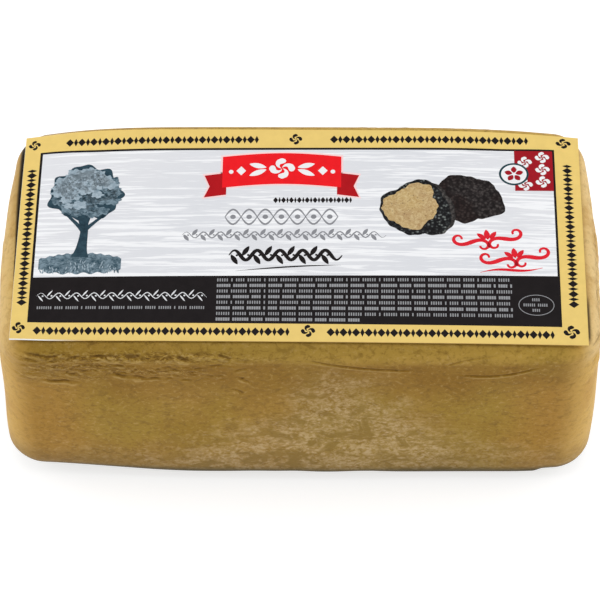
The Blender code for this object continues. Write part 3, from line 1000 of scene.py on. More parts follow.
def add_print(name, shapes, layer, material):
    """One ink's shapes as thin closed bodies on a layer of the print."""
    low = (layer - LAYER_OVERLAP) * LAYER - PRINT_DEPTH
    high = (layer + 1.0) * LAYER - PRINT_DEPTH
    all_points = []
    all_quads = []
    count = 0
    for x, y in shapes:
        points, quads = closed_sheets(print_place, x, y, low, high)
        all_points.append(points)
        all_quads.append(quads + count)
        count += len(points)
    return ride_label(name, np.concatenate(all_points), np.concatenate(all_quads), material)


def ride_label(name, points, quads, material):
    """Piece of the label made of closed bodies, whose faces are turned outwards."""
    piece = new_object(name, points, quads.tolist(), material, False)
    turn_outwards(piece.data)
    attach(piece, "root")
    return piece


def turn_outwards(mesh):
    """Make the faces of each closed body point outwards."""
    work = bmesh.new()
    work.from_mesh(mesh)
    bmesh.ops.recalc_face_normals(work, faces=work.faces)
    work.to_mesh(mesh)
    work.free()


class Socket:
    """A socket of a material's nodes. Arithmetic on it adds Math nodes."""

    def __init__(self, tree, socket):
        self.tree = tree
        self.socket = socket

    def node(self, kind, settings=None, inputs=None, output=0):
        """Add a node: its settings first, then its inputs by name or number."""
        made = self.tree.nodes.new(kind)
        for name, setting in (settings or {}).items():
            setattr(made, name, setting)
        for key, value in (inputs or {}).items():
            if isinstance(value, Socket):
                self.tree.links.new(value.socket, made.inputs[key])
            else:
                made.inputs[key].default_value = value
        return Socket(self.tree, made.outputs[output])

    def maths(self, operation, other=0.0, swapped=False):
        """Math node on this socket's value and another, or on the two swapped."""
        first, second = (other, self) if swapped else (self, other)
        return self.node("ShaderNodeMath", {"operation": operation}, {0: first, 1: second})

    __add__ = partialmethod(maths, "ADD")
    __radd__ = partialmethod(maths, "ADD", swapped=True)
    __sub__ = partialmethod(maths, "SUBTRACT")
    __rsub__ = partialmethod(maths, "SUBTRACT", swapped=True)
    __mul__ = partialmethod(maths, "MULTIPLY")
    __rmul__ = partialmethod(maths, "MULTIPLY", swapped=True)
    __abs__ = partialmethod(maths, "ABSOLUTE")

    def attribute(self, name):
        """Value that the mesh keeps at each point."""
        return self.node("ShaderNodeAttribute", {"attribute_name": name}, None, 2)

    def rise(self, start, end):
        """Smooth rise from 0 at the start to 1 at the end, which may be lower."""
        limits = {"Value": self, "From Min": start, "From Max": end}
        return self.node("ShaderNodeMapRange", {"interpolation_type": "SMOOTHSTEP"}, limits)

    def part(self, axis):
        """One part of a vector: 0, 1 or 2."""
        return self.node("ShaderNodeSeparateXYZ", None, {0: self}, axis)

    def stretched(self, scale):
        """Vector with its parts multiplied by the three scales."""
        return self.node("ShaderNodeVectorMath", {"operation": "MULTIPLY"}, {0: self, 1: scale})

    def cloud(self, scale, detail=3.0, roughness=0.55, warp=0.0):
        """Noise from 0 to 1 at this vector."""
        values = {"Vector": self, "Scale": scale, "Detail": detail, "Roughness": roughness}
        values["Distortion"] = warp
        return self.node("ShaderNodeTexNoise", None, values)

    def cells(self, scale):
        """Distance to the nearest point of a scatter at this vector."""
        return self.node("ShaderNodeTexVoronoi", None, {"Vector": self, "Scale": scale})

    def blend(self, first, second):
        """Colour that goes from the first to the second as this mask rises."""
        settings = {"data_type": "RGBA", "clamp_factor": True}
        return self.node("ShaderNodeMix", settings, {0: self, 6: first, 7: second}, 2)


def start_material(name):
    """New material, its shader, and its object coordinates as a socket."""
    material = bpy.data.materials.new(name)
    material.use_nodes = True
    tree = material.node_tree
    shader = tree.nodes["Principled BSDF"]
    place = Socket(tree, tree.nodes.new("ShaderNodeTexCoord").outputs["Object"])
    return material, shader, place


def connect(place, shader, **inputs):
    """Link or set inputs of the shader by names whose spaces are underscores."""
    for name, value in inputs.items():
        socket = shader.inputs[name.replace("_", " ")]
        if isinstance(value, Socket):
            place.tree.links.new(value.socket, socket)
        else:
            socket.default_value = value


def connect_print(place, shader, colour, roughness, **more):
    """Connect what every printed surface has: colour, dullness and a faint varnish."""
    sheen = {"Specular_IOR_Level": PRINT_SHEEN}
    connect(place, shader, Base_Color=colour, Roughness=roughness, **sheen, **more)


def bump(height, strength, distance):
    """Normal bent by a height from 0 to 1."""
    values = {"Strength": strength, "Distance": distance, "Height": height}
    return height.node("ShaderNodeBump", None, values)


def coated(ground, coats):
    """Colour of a ground under coats, each a mask and a colour, in the order they are laid."""
    for mask, colour in coats:
        ground = mask.blend(ground, colour)
    return ground


def rind_material(look):
    """Ochre and olive rind with a dry bloom, painted shade in its furrows and a waxy sheen."""
    material, shader, place = start_material("rind")
    x, z = place.part(0), place.part(2)
    from_middle = abs(x)
    crease, ragged, bloomed = (place.attribute(name) for name in ("crease", "ragged", "bloomed"))
    level = place.stretched((1.0, 1.0, 1.4))
    patches = place.cloud(50.0, 4.0, 0.6, 0.4)
    clumps = level.cloud(78.0, 4.0, 0.62, 0.9)
    mottle = level.cloud(170.0, 5.0, 0.68, 0.8)
    fine = place.stretched((1.0, 1.0, 1.2)).cloud(430.0, 3.0, 0.62, 0.4)
    grains = place.stretched((1.0, 1.0, 1.2)).cells(400.0).rise(0.44, 0.14)
    torn = place.stretched((1.0, 1.0, 2.6)).cloud(300.0, 4.0, 0.66, 1.2)
    band = z.rise(0.060, 0.084) * z.rise(0.100, 0.093)
    # Shoulder: the rim's own smooth tone, with painted light where it faces up, lighter towards the right
    rim = z.rise(0.092, 0.0985) * (x.rise(-0.110, -0.010) * 0.65 + 0.2)
    lit = z.rise(0.0925, 0.0960) * z.rise(0.1010, 0.0985) * x.rise(-0.030, 0.020)
    ends = from_middle.rise(0.085, 0.118) * z.rise(0.088, 0.070)
    # Lighter ends: their own yellower tone, and painted light where they turn to the side lamps
    golden_and_lit_ends = x.rise(-0.122, -0.138) * 0.72 + x.rise(0.117, 0.137) * 0.90
    # Painted highlight near the top of the two ends, stronger at the right
    pale = (x.rise(-0.128, -0.137) * 0.24 + x.rise(0.128, 0.137) * 0.40) * z.rise(0.084, 0.098)
    smooth = 1.0 - from_middle.rise(0.112, 0.132) * 0.5
    dry = clumps.rise(0.38, 0.54) * (mottle.rise(0.40, 0.60) * 0.35 + fine.rise(0.46, 0.57) * 0.50)
    bloom = bloomed * (dry * 0.94 + grains * clumps.rise(0.36, 0.50) * 0.36 + 0.05)
    # Painted shade near the foot, stronger towards the left end
    foot_shade = z.rise(0.030, 0.008) * (x.rise(-0.070, -0.110) * 0.20 + 0.28)
    coats = (
        (place.cloud(17.0, 2.0).rise(0.38, 0.62), look.olive),
        (band * 0.7 + patches.rise(0.45, 0.65) * 0.35, look.brown),
        (rim, look.shoulder),
        (lit * patches.rise(0.36, 0.56) * 0.40, look.lit),
        (ends * 0.75, look.amber),
        (golden_and_lit_ends, look.golden_and_lit_ends),
        (pale, look.pale),
        (mottle.rise(0.50, 0.34) * smooth * 0.45, look.dark),
        (fine.rise(0.47, 0.33) * smooth * 0.40, look.dark),
        (fine.rise(0.54, 0.70) * smooth * 0.30, look.fleck_and_highlight),
        (from_middle.rise(0.128, 0.136) * patches.rise(0.54, 0.34) * 0.5, look.amber),
        (bloomed * clumps.rise(0.53, 0.38) * 0.68, look.gap),
        (bloom, look.bloom),
        # Ragged skin: torn spots of painted shade in its small furrows and of painted highlight on their
        # ridges
        (ragged * torn.rise(0.52, 0.36) * 0.9, look.crease),
        (ragged * torn.rise(0.53, 0.64) * 0.75, look.fleck_and_highlight),
        # Painted shade in the furrows and painted highlight on their lips, by the crease depth
        (crease.rise(-0.05, -0.50) * smooth * 0.70, look.crease),
        (crease.rise(0.05, 0.30) * smooth * 0.40, look.fleck_and_highlight),
        (foot_shade, look.foot_shade),
        # Painted contact shadow: dark line along the lowest part of the walls
        (z.rise(0.0125, 0.0065) * 0.9, look.foot),
        (place.attribute("contact"), look.shade),
    )
    grain = place.cloud(1500.0, 2.0, 0.6)
    height = fine * 0.4 + grain * 0.15 + mottle * 0.5 + ragged * torn * 1.6 + bloomed * grains * 0.2
    connect(
        place,
        shader,
        Base_Color=coated(look.ochre, coats),
        Roughness=patches * 0.16 + (look.roughness - 0.08) + bloom * 0.15,
        Normal=bump(height, 0.5, 0.0009),
        Specular_IOR_Level=RIND_SHEEN,
    )
    return material


def ink_material(name, colour, roughness=0.38, uneven=0.05):
    """Printed ink: its colour a little uneven, over the fine grain of the paper."""
    material, shader, place = start_material(name)
    spread = place.cloud(220.0, 4.0, 0.6)
    darker = (*(part * (1.0 - uneven) for part in colour[:3]), 1.0)
    lighter = (*(min(part * (1.0 + uneven), 1.0) for part in colour[:3]), 1.0)
    base = spread.rise(0.3, 0.7).blend(darker, lighter)
    normal = bump(place.cloud(2600.0, 2.0), 0.12, 0.00005)
    connect_print(place, shader, base, spread * 0.10 + (roughness - 0.05), Normal=normal)
    return material


def paper_material(look):
    """Paper of the sheet, seen at its edges: white at the left end, tan further on."""
    material, shader, place = start_material("label_paper")
    base = place.part(0).rise(-0.124, -0.096).blend(look.paper, look.tan)
    connect_print(place, shader, base, 0.6)
    return material


def silver_material(look):
    """Pale brushed silver with white streaks that run along the label."""
    material, shader, place = start_material("silver_field")
    strokes = place.stretched((1.0, 22.0, 1.0)).cloud(26.0, 3.0, 0.55, 0.25)
    hairs = place.stretched((1.0, 20.0, 1.0)).cloud(62.0, 3.0, 0.6)
    tone = place.cloud(7.0, 1.0).rise(0.35, 0.65)
    dense = place.part(1).rise(0.045, -0.010) * 0.06 + place.part(0).rise(-0.02, 0.06) * 0.02
    coats = (
        (tone, look.dull_silver),
        ((strokes + dense).rise(0.56, 0.62) * 0.85, look.streak),
        (hairs.rise(0.56, 0.66) * 0.6, look.streak),
    )
    connect_print(place, shader, coated(look.silver, coats), tone * 0.06 + 0.34)
    return material


def tree_material(name, low, high, scale):
    """Engraved tone of the tree picture, dappled between two of its colours."""
    material, shader, place = start_material(name)
    dapple = place.cloud(scale, 5.0, 0.65, 0.3)
    scratches = place.stretched((1.0, 3.0, 1.0)).cloud(scale * 3.0, 2.0, 0.6)
    shade = dapple * 0.6 + scratches * 0.4
    connect_print(place, shader, shade.rise(0.38, 0.62).blend(low, high), 0.38)
    return material


def truffle_skin_material(name, dark, crest, cast_share, glint):
    """Black warty skin with paler crests, a brown cast and grey glints of given strengths."""
    material, shader, place = start_material(name)
    warts = place.cells(620.0)
    folds = place.cloud(400.0, 4.0, 0.66, 0.8)
    lit = place.cloud(150.0, 3.0, 0.6)
    coats = (
        (folds.rise(0.42, 0.66), crest),
        (place.cloud(55.0, 2.0).rise(0.44, 0.58) * cast_share, srgb(46, 33, 31)),
        (warts.rise(0.46, 0.10) * lit.rise(0.40, 0.56) * glint, srgb(124, 130, 126)),
        (warts.rise(0.34, 0.62) * 0.6, srgb(14, 12, 13)),
    )
    connect_print(place, shader, coated(dark, coats), 0.4)
    return material


def truffle_flesh_material(look):
    """Beige flesh, marbled with pale veins and fibres, with fine brown grains."""
    material, shader, place = start_material("truffle_flesh")
    veins = abs(place.cloud(130.0, 5.0, 0.6, 2.2) - 0.5).rise(0.035, 0.004)
    fibres = place.cloud(520.0, 4.0, 0.68, 0.6)
    coats = (
        (place.cloud(60.0, 2.0).rise(0.35, 0.65), srgb(192, 164, 112)),
        (fibres.rise(0.48, 0.34) * 0.45, srgb(150, 114, 70)),
        (fibres.rise(0.52, 0.66) * 0.55, srgb(216, 196, 150)),
        (veins * 0.5, srgb(218, 198, 152)),
        (place.cells(760.0).rise(0.34, 0.12) * 0.5, srgb(134, 102, 64)),
        (place.cells(260.0).rise(0.16, 0.07) * 0.5, srgb(92, 62, 36)),
    )
    connect_print(place, shader, coated(look.flesh, coats), 0.4)
    return material


def floor_material(look):
    """Plain pale floor that glows a little, so that its shadows stay faint."""
    material, shader, place = start_material("floor")
    glow = {"Emission_Color": WHITE, "Emission_Strength": FLOOR_GLOW}
    connect(place, shader, Base_Color=look.floor, Roughness=0.9, **glow)
    return material


def marks(start, end, middle, quarter_turns, height=MARK_HEIGHT, pitch=MARK_PITCH):
    """Run of wide and narrow lozenges in turn, which touch."""
    count = round((end - start) / pitch)
    pitch = (end - start) / count
    wide, narrow = WIDE_MARK * pitch, NARROW_MARK * pitch
    half_height = 0.5 * height
    shapes = []
    for step in range(count):
        left = start + step * pitch
        shapes.append(lozenge(left + wide, middle, wide, half_height))
        shapes.append(lozenge(left + 2.0 * wide + narrow, middle, narrow, half_height))
    if quarter_turns:
        shapes = [(-y, x) for x, y in shapes]
    return shapes


def lozenge(x, y, half_width, half_height):
    """Lozenge with its four points left and right, low and high."""
    across = np.array(((0.0, 1.0), (-1.0, 0.0)))
    up = np.array(((-1.0, 0.0), (0.0, 1.0)))
    return x + across * half_width, y + up * half_height


def small_print(left, right, middle, height, seed, bold=1.0):
    """Row of fine upright ticks of one height, in groups of uneven length."""
    pitch = TICK_PITCH * height
    count = int((right - left) / pitch)
    scatter = GROUP_SCATTER * picks(count, 1, seed + 0.5)
    group = np.floor((np.arange(count) + scatter) / GROUP_TICKS)
    gap = np.diff(group, prepend=0.0) > 0.0
    x = (left + (np.arange(count) + 0.5) * pitch)[~gap][:, None, None]
    across = np.array(((-1.0, 1.0), (-1.0, 1.0))) * TICK_HALF_WIDTH * pitch * bold
    up = np.array(((-1.0, -1.0), (1.0, 1.0))) * TICK_HALF_HEIGHT * height
    return x + across, middle + up + np.zeros_like(x)


def braid(left, right, middle, swing, wave, half_width):
    """Two wavy lines that cross, with a dot in each eye between them."""
    shapes = []
    count = round((right - left) / wave)
    length = (right - left) / count
    share = np.linspace(0.0, 1.0, 14)
    for number in range(count):
        start = left + number * length
        x = start + share * length
        for side in (-1.0, 1.0):
            y = middle + side * swing * np.sin(pi * share)
            shapes.append(stroke(x, y, half_width * (0.35 + 0.65 * np.sin(pi * share))))
        shapes.append(blob((start + 0.5 * length, middle), (0.30 * swing, 0.30 * swing), cells=4))
    return shapes


def vine(left, right, middle, swing, wave, half_width, leaf_width=LEAF_WIDTH):
    """Wavy stem with a leaf over each trough and under each crest, and a berry in each."""
    x = np.linspace(left, right, 90)
    share = (x - left) / (right - left)
    ends = np.minimum(1.0, 8.0 * np.minimum(share, 1.0 - share) + 0.25)
    shapes = [stroke(x, middle + swing * 0.55 * np.sin(2.0 * pi * (x - left) / wave), half_width * ends)]
    berry = (0.055 * wave, 0.055 * wave)
    for number in range(int(2.0 * (right - left) / wave)):
        side = -1.0 if number % 2 == 0 else 1.0
        base = left + (number + 0.5) * wave / 2.0
        foot = (base - 0.17 * wave, middle - side * 0.10 * swing)
        tip = (base + 0.14 * wave, middle + side * 1.05 * swing)
        shapes.append(leaf(foot, tip, leaf_width * wave))
        shapes.append(blob((base + 0.10 * wave, middle + side * 0.02 * swing), berry, cells=4))
    return shapes


def slant_back_edge(across, back):
    """Draw the sheet's back edge in towards the left, where the loaf shows behind it."""
    return back - (1.0 + back) / 2.0 * SHEET_SLANT * (1.0 - across) / 2.0


def gold_ground():
    """Grid over the printed sheet, set back from its front edge near the left corner.

    The print slipped there, so the white of the paper shows beside the edge.
    """
    across, back = rectangle(*GOLD_FIELD, *SHEET_CELLS)
    back += (1.0 - back) / 2.0 * (FRONT_MARGIN + LEFT_MARGIN * grown(-across, LEFT_MARGIN_STRETCH))
    return across, slant_back_edge(across, back)


def place_print_fields(look):
    """Gold ground to the sheet's edge, then the black frame field and the silver field."""
    low = -GROUND_OVERLAP - PRINT_DEPTH
    ground = closed_sheets(label_place, *gold_ground(), low, LAYER - PRINT_DEPTH)
    ride_label("gold_border", *ground, ink_material("gold_ink", look.gold, *GOLD_FINISH))
    black = ink_material("black_ink", look.black, *BLACK_FINISH)
    add_print("frame_field", [rectangle(*FRAME_FIELD, *SHEET_CELLS)], 1, black)
    add_print("silver_field", [rectangle(*SILVER_FIELD, *SHEET_CELLS)], 2, silver_material(look))


class MakeRind(bpy.types.Operator):
    """Make the loaf's surface with its creases and its rind"""

    bl_idname = "cheese.make_rind"
    bl_label = "Rind"

    def execute(self, context):
        look = context.scene.rind_look
        points, faces, values = loaf_surface(look.wrinkle_depth)
        piece = new_object("cheese_rind", points, faces, rind_material(look), True)
        for name, value in values.items():
            attribute = piece.data.attributes.new(name, "FLOAT", "POINT")
            attribute.data.foreach_set("value", value)
        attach(piece, "root")
        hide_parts("cheese_loaf")
        return {"FINISHED"}


class MakeSheet(bpy.types.Operator):
    """Make the sheet of paper under the print"""

    bl_idname = "cheese.make_sheet"
    bl_label = "Paper sheet"

    def execute(self, context):
        paper = paper_material(context.scene.label_look)
        across, back = rectangle(-1.0, 1.0, -1.0, 1.0, *SHEET_CELLS)
        slanted = slant_back_edge(across, back)
        points, quads = closed_sheets(label_place, across, slanted, -LABEL_THICKNESS, -PRINT_DEPTH)
        piece = new_object("label_sheet", points, quads.tolist(), paper, False)
        turn_outwards(piece.data)
        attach(piece, "root")
        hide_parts("label")
        return {"FINISHED"}


class MakeFields(bpy.types.Operator):
    """Make the gold, black and silver fields of the print"""

    bl_idname = "cheese.make_fields"
    bl_label = "Printed fields"

    def execute(self, context):
        place_print_fields(context.scene.label_look)
        return {"FINISHED"}


class MakeBorder(bpy.types.Operator):
    """Make the rosettes and the runs of marks in the border"""

    bl_idname = "cheese.make_border"
    bl_label = "Border ornament"

    def execute(self, context):
        black = ink_material("border_ink", context.scene.label_look.black, *BLACK_FINISH)
        rosettes = [head for place in BORDER_ROSETTES for head in rosette(place[:2], place[2:])]
        add_print("border_rosettes", rosettes, 1, black)
        runs = [shape for run in BORDER_RUNS for shape in marks(*run)]
        add_print("border_marks", runs, 1, black)
        return {"FINISHED"}


def banner_shapes(grow):
    """Arched ribbon with two tails that end in a notch, widened by a margin."""
    share, up = rectangle(0.0, 1.0, -1.0, 1.0, 30, 6)
    body_x = RIBBON_LEFT - grow + (RIBBON_LENGTH + 2.0 * grow) * share
    body_y = RIBBON_MIDDLE + RIBBON_ARCH * np.sin(pi * share) + up * (RIBBON_HALF_HEIGHT + grow)
    tails = []
    for side, root in zip((-1.0, 1.0), TAIL_ROOTS):
        notch = TAIL_NOTCH * (1.0 - np.abs(up)) * share
        out = root + side * share * (TAIL_LENGTH + grow) - side * notch
        tails.append((out, TAIL_MIDDLE - TAIL_DROP * share + up * (TAIL_HALF_HEIGHT + grow)))
    return (body_x, body_y), tails


def banner_ornament():
    """Rosette with two leaves, a lozenge and a dot on either side."""
    middle, crest = BANNER_ROSETTE
    shapes = rosette(BANNER_ROSETTE, BANNER_ROSETTE_SIZE)
    for side in (-1.0, 1.0):
        for start, end in ((0.6, 2.8), (-0.6, -4.4)):
            root = (middle + side * 7.4, crest + start)
            shapes.append(leaf(root, (middle + side * 15.6, crest + end), 1.5))
        shapes.append(lozenge(middle + side * 19.4, crest - 1.4, 2.3, 2.7))
        shapes.append(blob((middle + side * 24.2, crest - 2.0), (1.1, 1.2), cells=6))
    return shapes


class MakeBanner(bpy.types.Operator):
    """Make the red ribbon banner in the middle of the silver field"""

    bl_idname = "cheese.make_banner"
    bl_label = "Red banner"

    def execute(self, context):
        look = context.scene.label_look
        rose = ink_material("pale_outline_ink", look.rose, uneven=0.02)
        red = ink_material("red_ink", look.red)
        deep = ink_material("deep_red_ink", look.deep_red)
        wide_body, wide_tails = banner_shapes(BANNER_OUTLINE)
        body, tails = banner_shapes(0.0)
        add_print("banner_outline", [wide_body, *wide_tails], 3, rose)
        add_print("banner_tails", tails, 4, deep)
        add_print("banner_body", [body], 5, red)
        white = ink_material("banner_white_ink", look.white, uneven=0.03)
        add_print("banner_ornament", banner_ornament(), 6, white)
        return {"FINISHED"}


def pen_line():
    """Rising pen line, thin at both ends."""
    left, right, height, rise, half_width = PEN_LINE
    x = np.linspace(left, right, 60)
    share = (x - left) / (right - left)
    thin = np.sin(pi * np.clip(share, 0.03, 0.97))
    return stroke(x, height + rise * np.sin(0.5 * pi * share), half_width * thin)


class MakeLines(bpy.types.Operator):
    """Make the grey and black ornament lines under the banner"""

    bl_idname = "cheese.make_lines"
    bl_label = "Ornament lines"

    def execute(self, context):
        look = context.scene.label_look
        grey = ink_material("grey_ink", look.grey, uneven=0.06)
        black = ink_material("line_ink", look.black, *BLACK_FINISH)
        add_print("grey_lines", braid(*BRAID) + vine(*GREY_VINE), 3, grey)
        add_print("black_lines", [*vine(*BOLD_VINE), pen_line(), *marks(*TAGLINE)], 3, black)
        return {"FINISHED"}


def crown_clumps(low, high):
    """Leaf clumps of the crown on a sunflower spiral, of those lit between two limits.

    A clump is lit by how far it lies up and to the left, with some scatter.
    """
    number = np.arange(CLUMP_COUNT)
    reach = 0.88 * np.sqrt((number + 0.5) / CLUMP_COUNT)
    across = reach * np.cos(number * GOLDEN_ANGLE)
    up = reach * np.sin(number * GOLDEN_ANGLE)
    lit = 0.75 * up - 0.45 * across + 1.1 * (picks(CLUMP_COUNT, 1, CLUMP_SEED) - 0.5)
    x = CROWN_MIDDLE[0] + CLUMPS_SIZE[0] * across
    y = CROWN_MIDDLE[1] + CLUMPS_SIZE[1] * up
    wide = 2.3 + 1.3 * picks(CLUMP_COUNT, 2, CLUMP_SEED)
    return [
        blob((x[n], y[n]), (wide[n], 0.74 * wide[n]), ((5, 0.16, n), (8, 0.10, 2.0 * n)), cells=10)
        for n in number[(lit >= low) & (lit < high)]
    ]


def grass_blades(count, seed, height):
    """Blades of grass over the mound, leaning both ways."""
    across = picks(count, 1, seed)
    x = MOUND_LEFT + 1.0 + (MOUND_LENGTH - 2.0) * across
    foot = MOUND_FOOT - 0.4 + 7.5 * picks(count, 2, seed) * np.sin(pi * across) ** 0.6
    lean = 2.0 * picks(count, 3, seed) - 1.0
    tall = height * (0.6 + 0.6 * picks(count, 4, seed))
    return [leaf((a, b), (a + c, b + d), 0.30, 4) for a, b, c, d in zip(x, foot, lean, tall)]


def mound():
    """Grassy mound with an uneven crest and foot."""
    share, up = rectangle(0.0, 1.0, 0.0, 1.0, 40, 4)
    crest = MOUND_CREST + 3.4 * np.sin(pi * share) ** 0.8 + 0.4 * np.sin(61.0 * share)
    foot = MOUND_FOOT + 0.6 * np.sin(37.0 * share) + 2.6 * (2.0 * share - 1.0) ** 4
    return MOUND_LEFT + MOUND_LENGTH * share, foot + (crest - foot) * up


def bare_tree():
    """Dark ground of the crown, the trunk that widens at its foot, and the branches."""
    rise = np.linspace(0.0, 1.0, 16)
    foot_x, foot_y = TRUNK_FOOT
    half_width = 2.4 - 1.3 * rise + 1.8 * np.exp(-9.0 * rise)
    trunk = stroke(foot_x + 1.6 * np.sin(2.2 * rise), foot_y + TRUNK_HEIGHT * rise, half_width)
    branches = [
        stroke(FORK[0] + reach * rise, FORK[1] + lift * rise**0.8, 1.1 - 0.7 * rise)
        for reach, lift in BRANCHES
    ]
    return [blob(CROWN_MIDDLE, CROWN_SIZE, CROWN_LOBES, cells=40), trunk, *branches]


class MakeTree(bpy.types.Operator):
    """Make the picture of an oak on a grassy mound"""

    bl_idname = "cheese.make_tree"
    bl_label = "Tree picture"

    def execute(self, context):
        look = context.scene.label_look
        dark = tree_material("tree_dark", look.ink, look.slate, 340.0)
        tone = tree_material("tree_tone", look.slate, look.steel, 260.0)
        light = tree_material("tree_light", look.haze, look.mist, 300.0)
        add_print("mound", [mound()], 3, tone)
        add_print("trunk", bare_tree(), 4, dark)
        add_print("leaves", crown_clumps(-0.55, 9.0) + grass_blades(60, 8, 2.6), 5, tone)
        add_print("lit_leaves", crown_clumps(0.05, 9.0) + grass_blades(50, 3, 2.0), 6, light)
        return {"FINISHED"}


class MakeTruffles(bpy.types.Operator):
    """Make the printed pair of truffles, one of them cut"""

    bl_idname = "cheese.make_truffles"
    bl_label = "Truffles"

    def execute(self, context):
        look = context.scene.label_look
        brown_skin = truffle_skin_material("brown_skin", look.skin, srgb(70, 64, 63), 0.6, 0.08)
        grey_skin = truffle_skin_material("grey_skin", srgb(66, 62, 61), srgb(92, 89, 86), 0.0, 0.3)
        black_skin = truffle_skin_material("black_skin", srgb(28, 28, 30), srgb(58, 61, 63), 0.0, 0.9)
        flesh = truffle_flesh_material(look)
        inside_rim = np.subtract(CUT_TRUFFLE, TRUFFLE_RIM)
        for name, middle, radii, bumps, layer, material in (
            ("whole_truffle", WHOLE_MIDDLE, WHOLE_TRUFFLE, 0.14, 3, brown_skin),
            ("truffle_rim", CUT_MIDDLE, CUT_TRUFFLE, 0.22, 3.5, grey_skin),
            ("cut_truffle", CUT_MIDDLE, inside_rim, 0.22, 4.2, black_skin),
            ("truffle_face", FACE_MIDDLE, TRUFFLE_FACE, 0.28, 5, flesh),
        ):
            add_print(name, [pebble(middle, radii, TRUFFLE_CELLS, bumps)], layer, material)
        return {"FINISHED"}


def badge_petals():
    """Five petals round the middle of the badge, the first one upright."""
    petals = []
    for turn in pi / 2 + np.arange(5) * 2.0 * pi / 5.0:
        way = np.array((np.cos(turn), np.sin(turn)))
        petals.append(leaf(BADGE_MIDDLE + 0.8 * way, BADGE_MIDDLE + 4.7 * way, 1.35))
    return petals


class MakePanel(bpy.types.Operator):
    """Make the red corner panel, its white rosettes and the round badge"""

    bl_idname = "cheese.make_panel"
    bl_label = "Corner panel"

    def execute(self, context):
        look = context.scene.label_look
        crimson = ink_material("crimson_ink", look.crimson)
        white = ink_material("panel_white_ink", look.white, uneven=0.03)
        teal = ink_material("teal_ink", look.teal, uneven=0.06)
        add_print("panel", [rectangle(*PANEL_FIELD)], 3, crimson)
        heads = [head for middle in PANEL_ROSETTES for head in rosette(middle, PANEL_ROSETTE_SIZE)]
        add_print("panel_rosettes", heads, 4, white)
        add_print("badge_ring", [blob(BADGE_MIDDLE, BADGE_RING, cells=20)], 5, teal)
        add_print("badge_disc", [blob(BADGE_MIDDLE, BADGE_DISC, cells=20)], 5.5, white)
        add_print("badge_flower", badge_petals(), 6, crimson)
        return {"FINISHED"}


def volute(middle, length, turn):
    """S-shaped pen line, thick in its middle, whose two ends curl up into spirals."""
    part = np.linspace(-1.0, 1.0, 96)
    heading = turn + VOLUTE_CURL * part**2
    step = length / len(part)
    x = np.cumsum(np.cos(heading)) * step
    y = np.cumsum(np.sin(heading)) * step
    x += middle[0] - (x[0] + x[-1]) / 2
    y += middle[1] - (y[0] + y[-1]) / 2
    return stroke(x, y, 0.50 + 0.70 * (1.0 - np.abs(part)))


def scrollwork(middle):
    """Mirrored pair of volutes with four leaves between them, set down turned."""
    half = [volute((8.2, 0.0), 33.0, -0.30), leaf((0.9, 1.0), (4.6, 5.0), 1.2)]
    mirrored = [(-x[:, ::-1], y[:, ::-1]) for x, y in half]
    upright = [leaf((0.0, 0.6), (0.0, 6.8), 1.4), leaf((0.0, -1.2), (0.0, -4.4), 0.8)]
    across, up = np.cos(SCROLL_TURN), np.sin(SCROLL_TURN)
    return [
        (middle[0] + x * across - y * up, middle[1] + x * up + y * across)
        for x, y in half + mirrored + upright
    ]


def swash(start, end, sag, half_width):
    """Pen line under a scroll, thin at both ends."""
    share = np.linspace(0.0, 1.0, 24)
    x = start[0] + (end[0] - start[0]) * share
    y = start[1] + (end[1] - start[1]) * share + sag * np.sin(2.0 * pi * share)
    return stroke(x, y, half_width * np.sin(pi * np.clip(share, 0.06, 0.94)))


class MakeFlourish(bpy.types.Operator):
    """Make the red pen flourish at the right of the silver field"""

    bl_idname = "cheese.make_flourish"
    bl_label = "Red flourish"

    def execute(self, context):
        red = ink_material("flourish_ink", context.scene.label_look.pen_red)
        shapes = [shape for middle in SCROLL_MIDDLES for shape in scrollwork(middle)]
        add_print("flourish", [*shapes, swash(*SWASH)], 3, red)
        return {"FINISHED"}


def band_rows():
    """Rows of small print, every second one bold, and the last one short."""
    rows = [small_print(*VINE_ROW)]
    for row in range(ROWS):
        right = ROWS_RIGHT if row < ROWS - 1 else LAST_ROW_RIGHT
        bold = 1.0 + 0.5 * (row % 2)
        rows.append(small_print(ROWS_LEFT, right, FIRST_ROW - ROW_PITCH * row, ROW_HEIGHT, 11 + row, bold))
    return rows


class MakeBandPrint(bpy.types.Operator):
    """Make the white and grey marks on the black band"""

    bl_idname = "cheese.make_band_print"
    bl_label = "Band print"

    def execute(self, context):
        look = context.scene.label_look
        white = ink_material("band_white_ink", look.band_white, uneven=0.03)
        grey = ink_material("band_grey_ink", look.band_grey)
        black = ink_material("band_black_ink", look.black, *BLACK_FINISH)
        add_print("band_title", vine(*BAND_VINE), 2, white)
        add_print("small_print", band_rows(), 2, grey)
        add_print("band_oval", [blob(OVAL_MIDDLE, OVAL, cells=24)], 2, grey)
        add_print("band_oval_inside", [blob(OVAL_MIDDLE, OVAL_INSIDE, cells=24)], 3, black)
        x, y = OVAL_MIDDLE
        inside = [small_print(x - half, x + half, y + lift, 2.9, 31) for half, lift in OVAL_ROWS]
        add_print("band_oval_marks", inside, 4, grey)
        return {"FINISHED"}


def add_area_light(name, place, aim, size, power):
    """Soft rectangular light that faces a place."""
    data = bpy.data.lights.new(name, "AREA")
    data.shape = "RECTANGLE"
    data.size, data.size_y = size
    data.energy = power
    light = bpy.data.objects.new(name, data)
    light.location = place
    light.rotation_euler = (Vector(aim) - Vector(place)).to_track_quat("-Z", "Y").to_euler()
    bpy.context.scene.collection.objects.link(light)


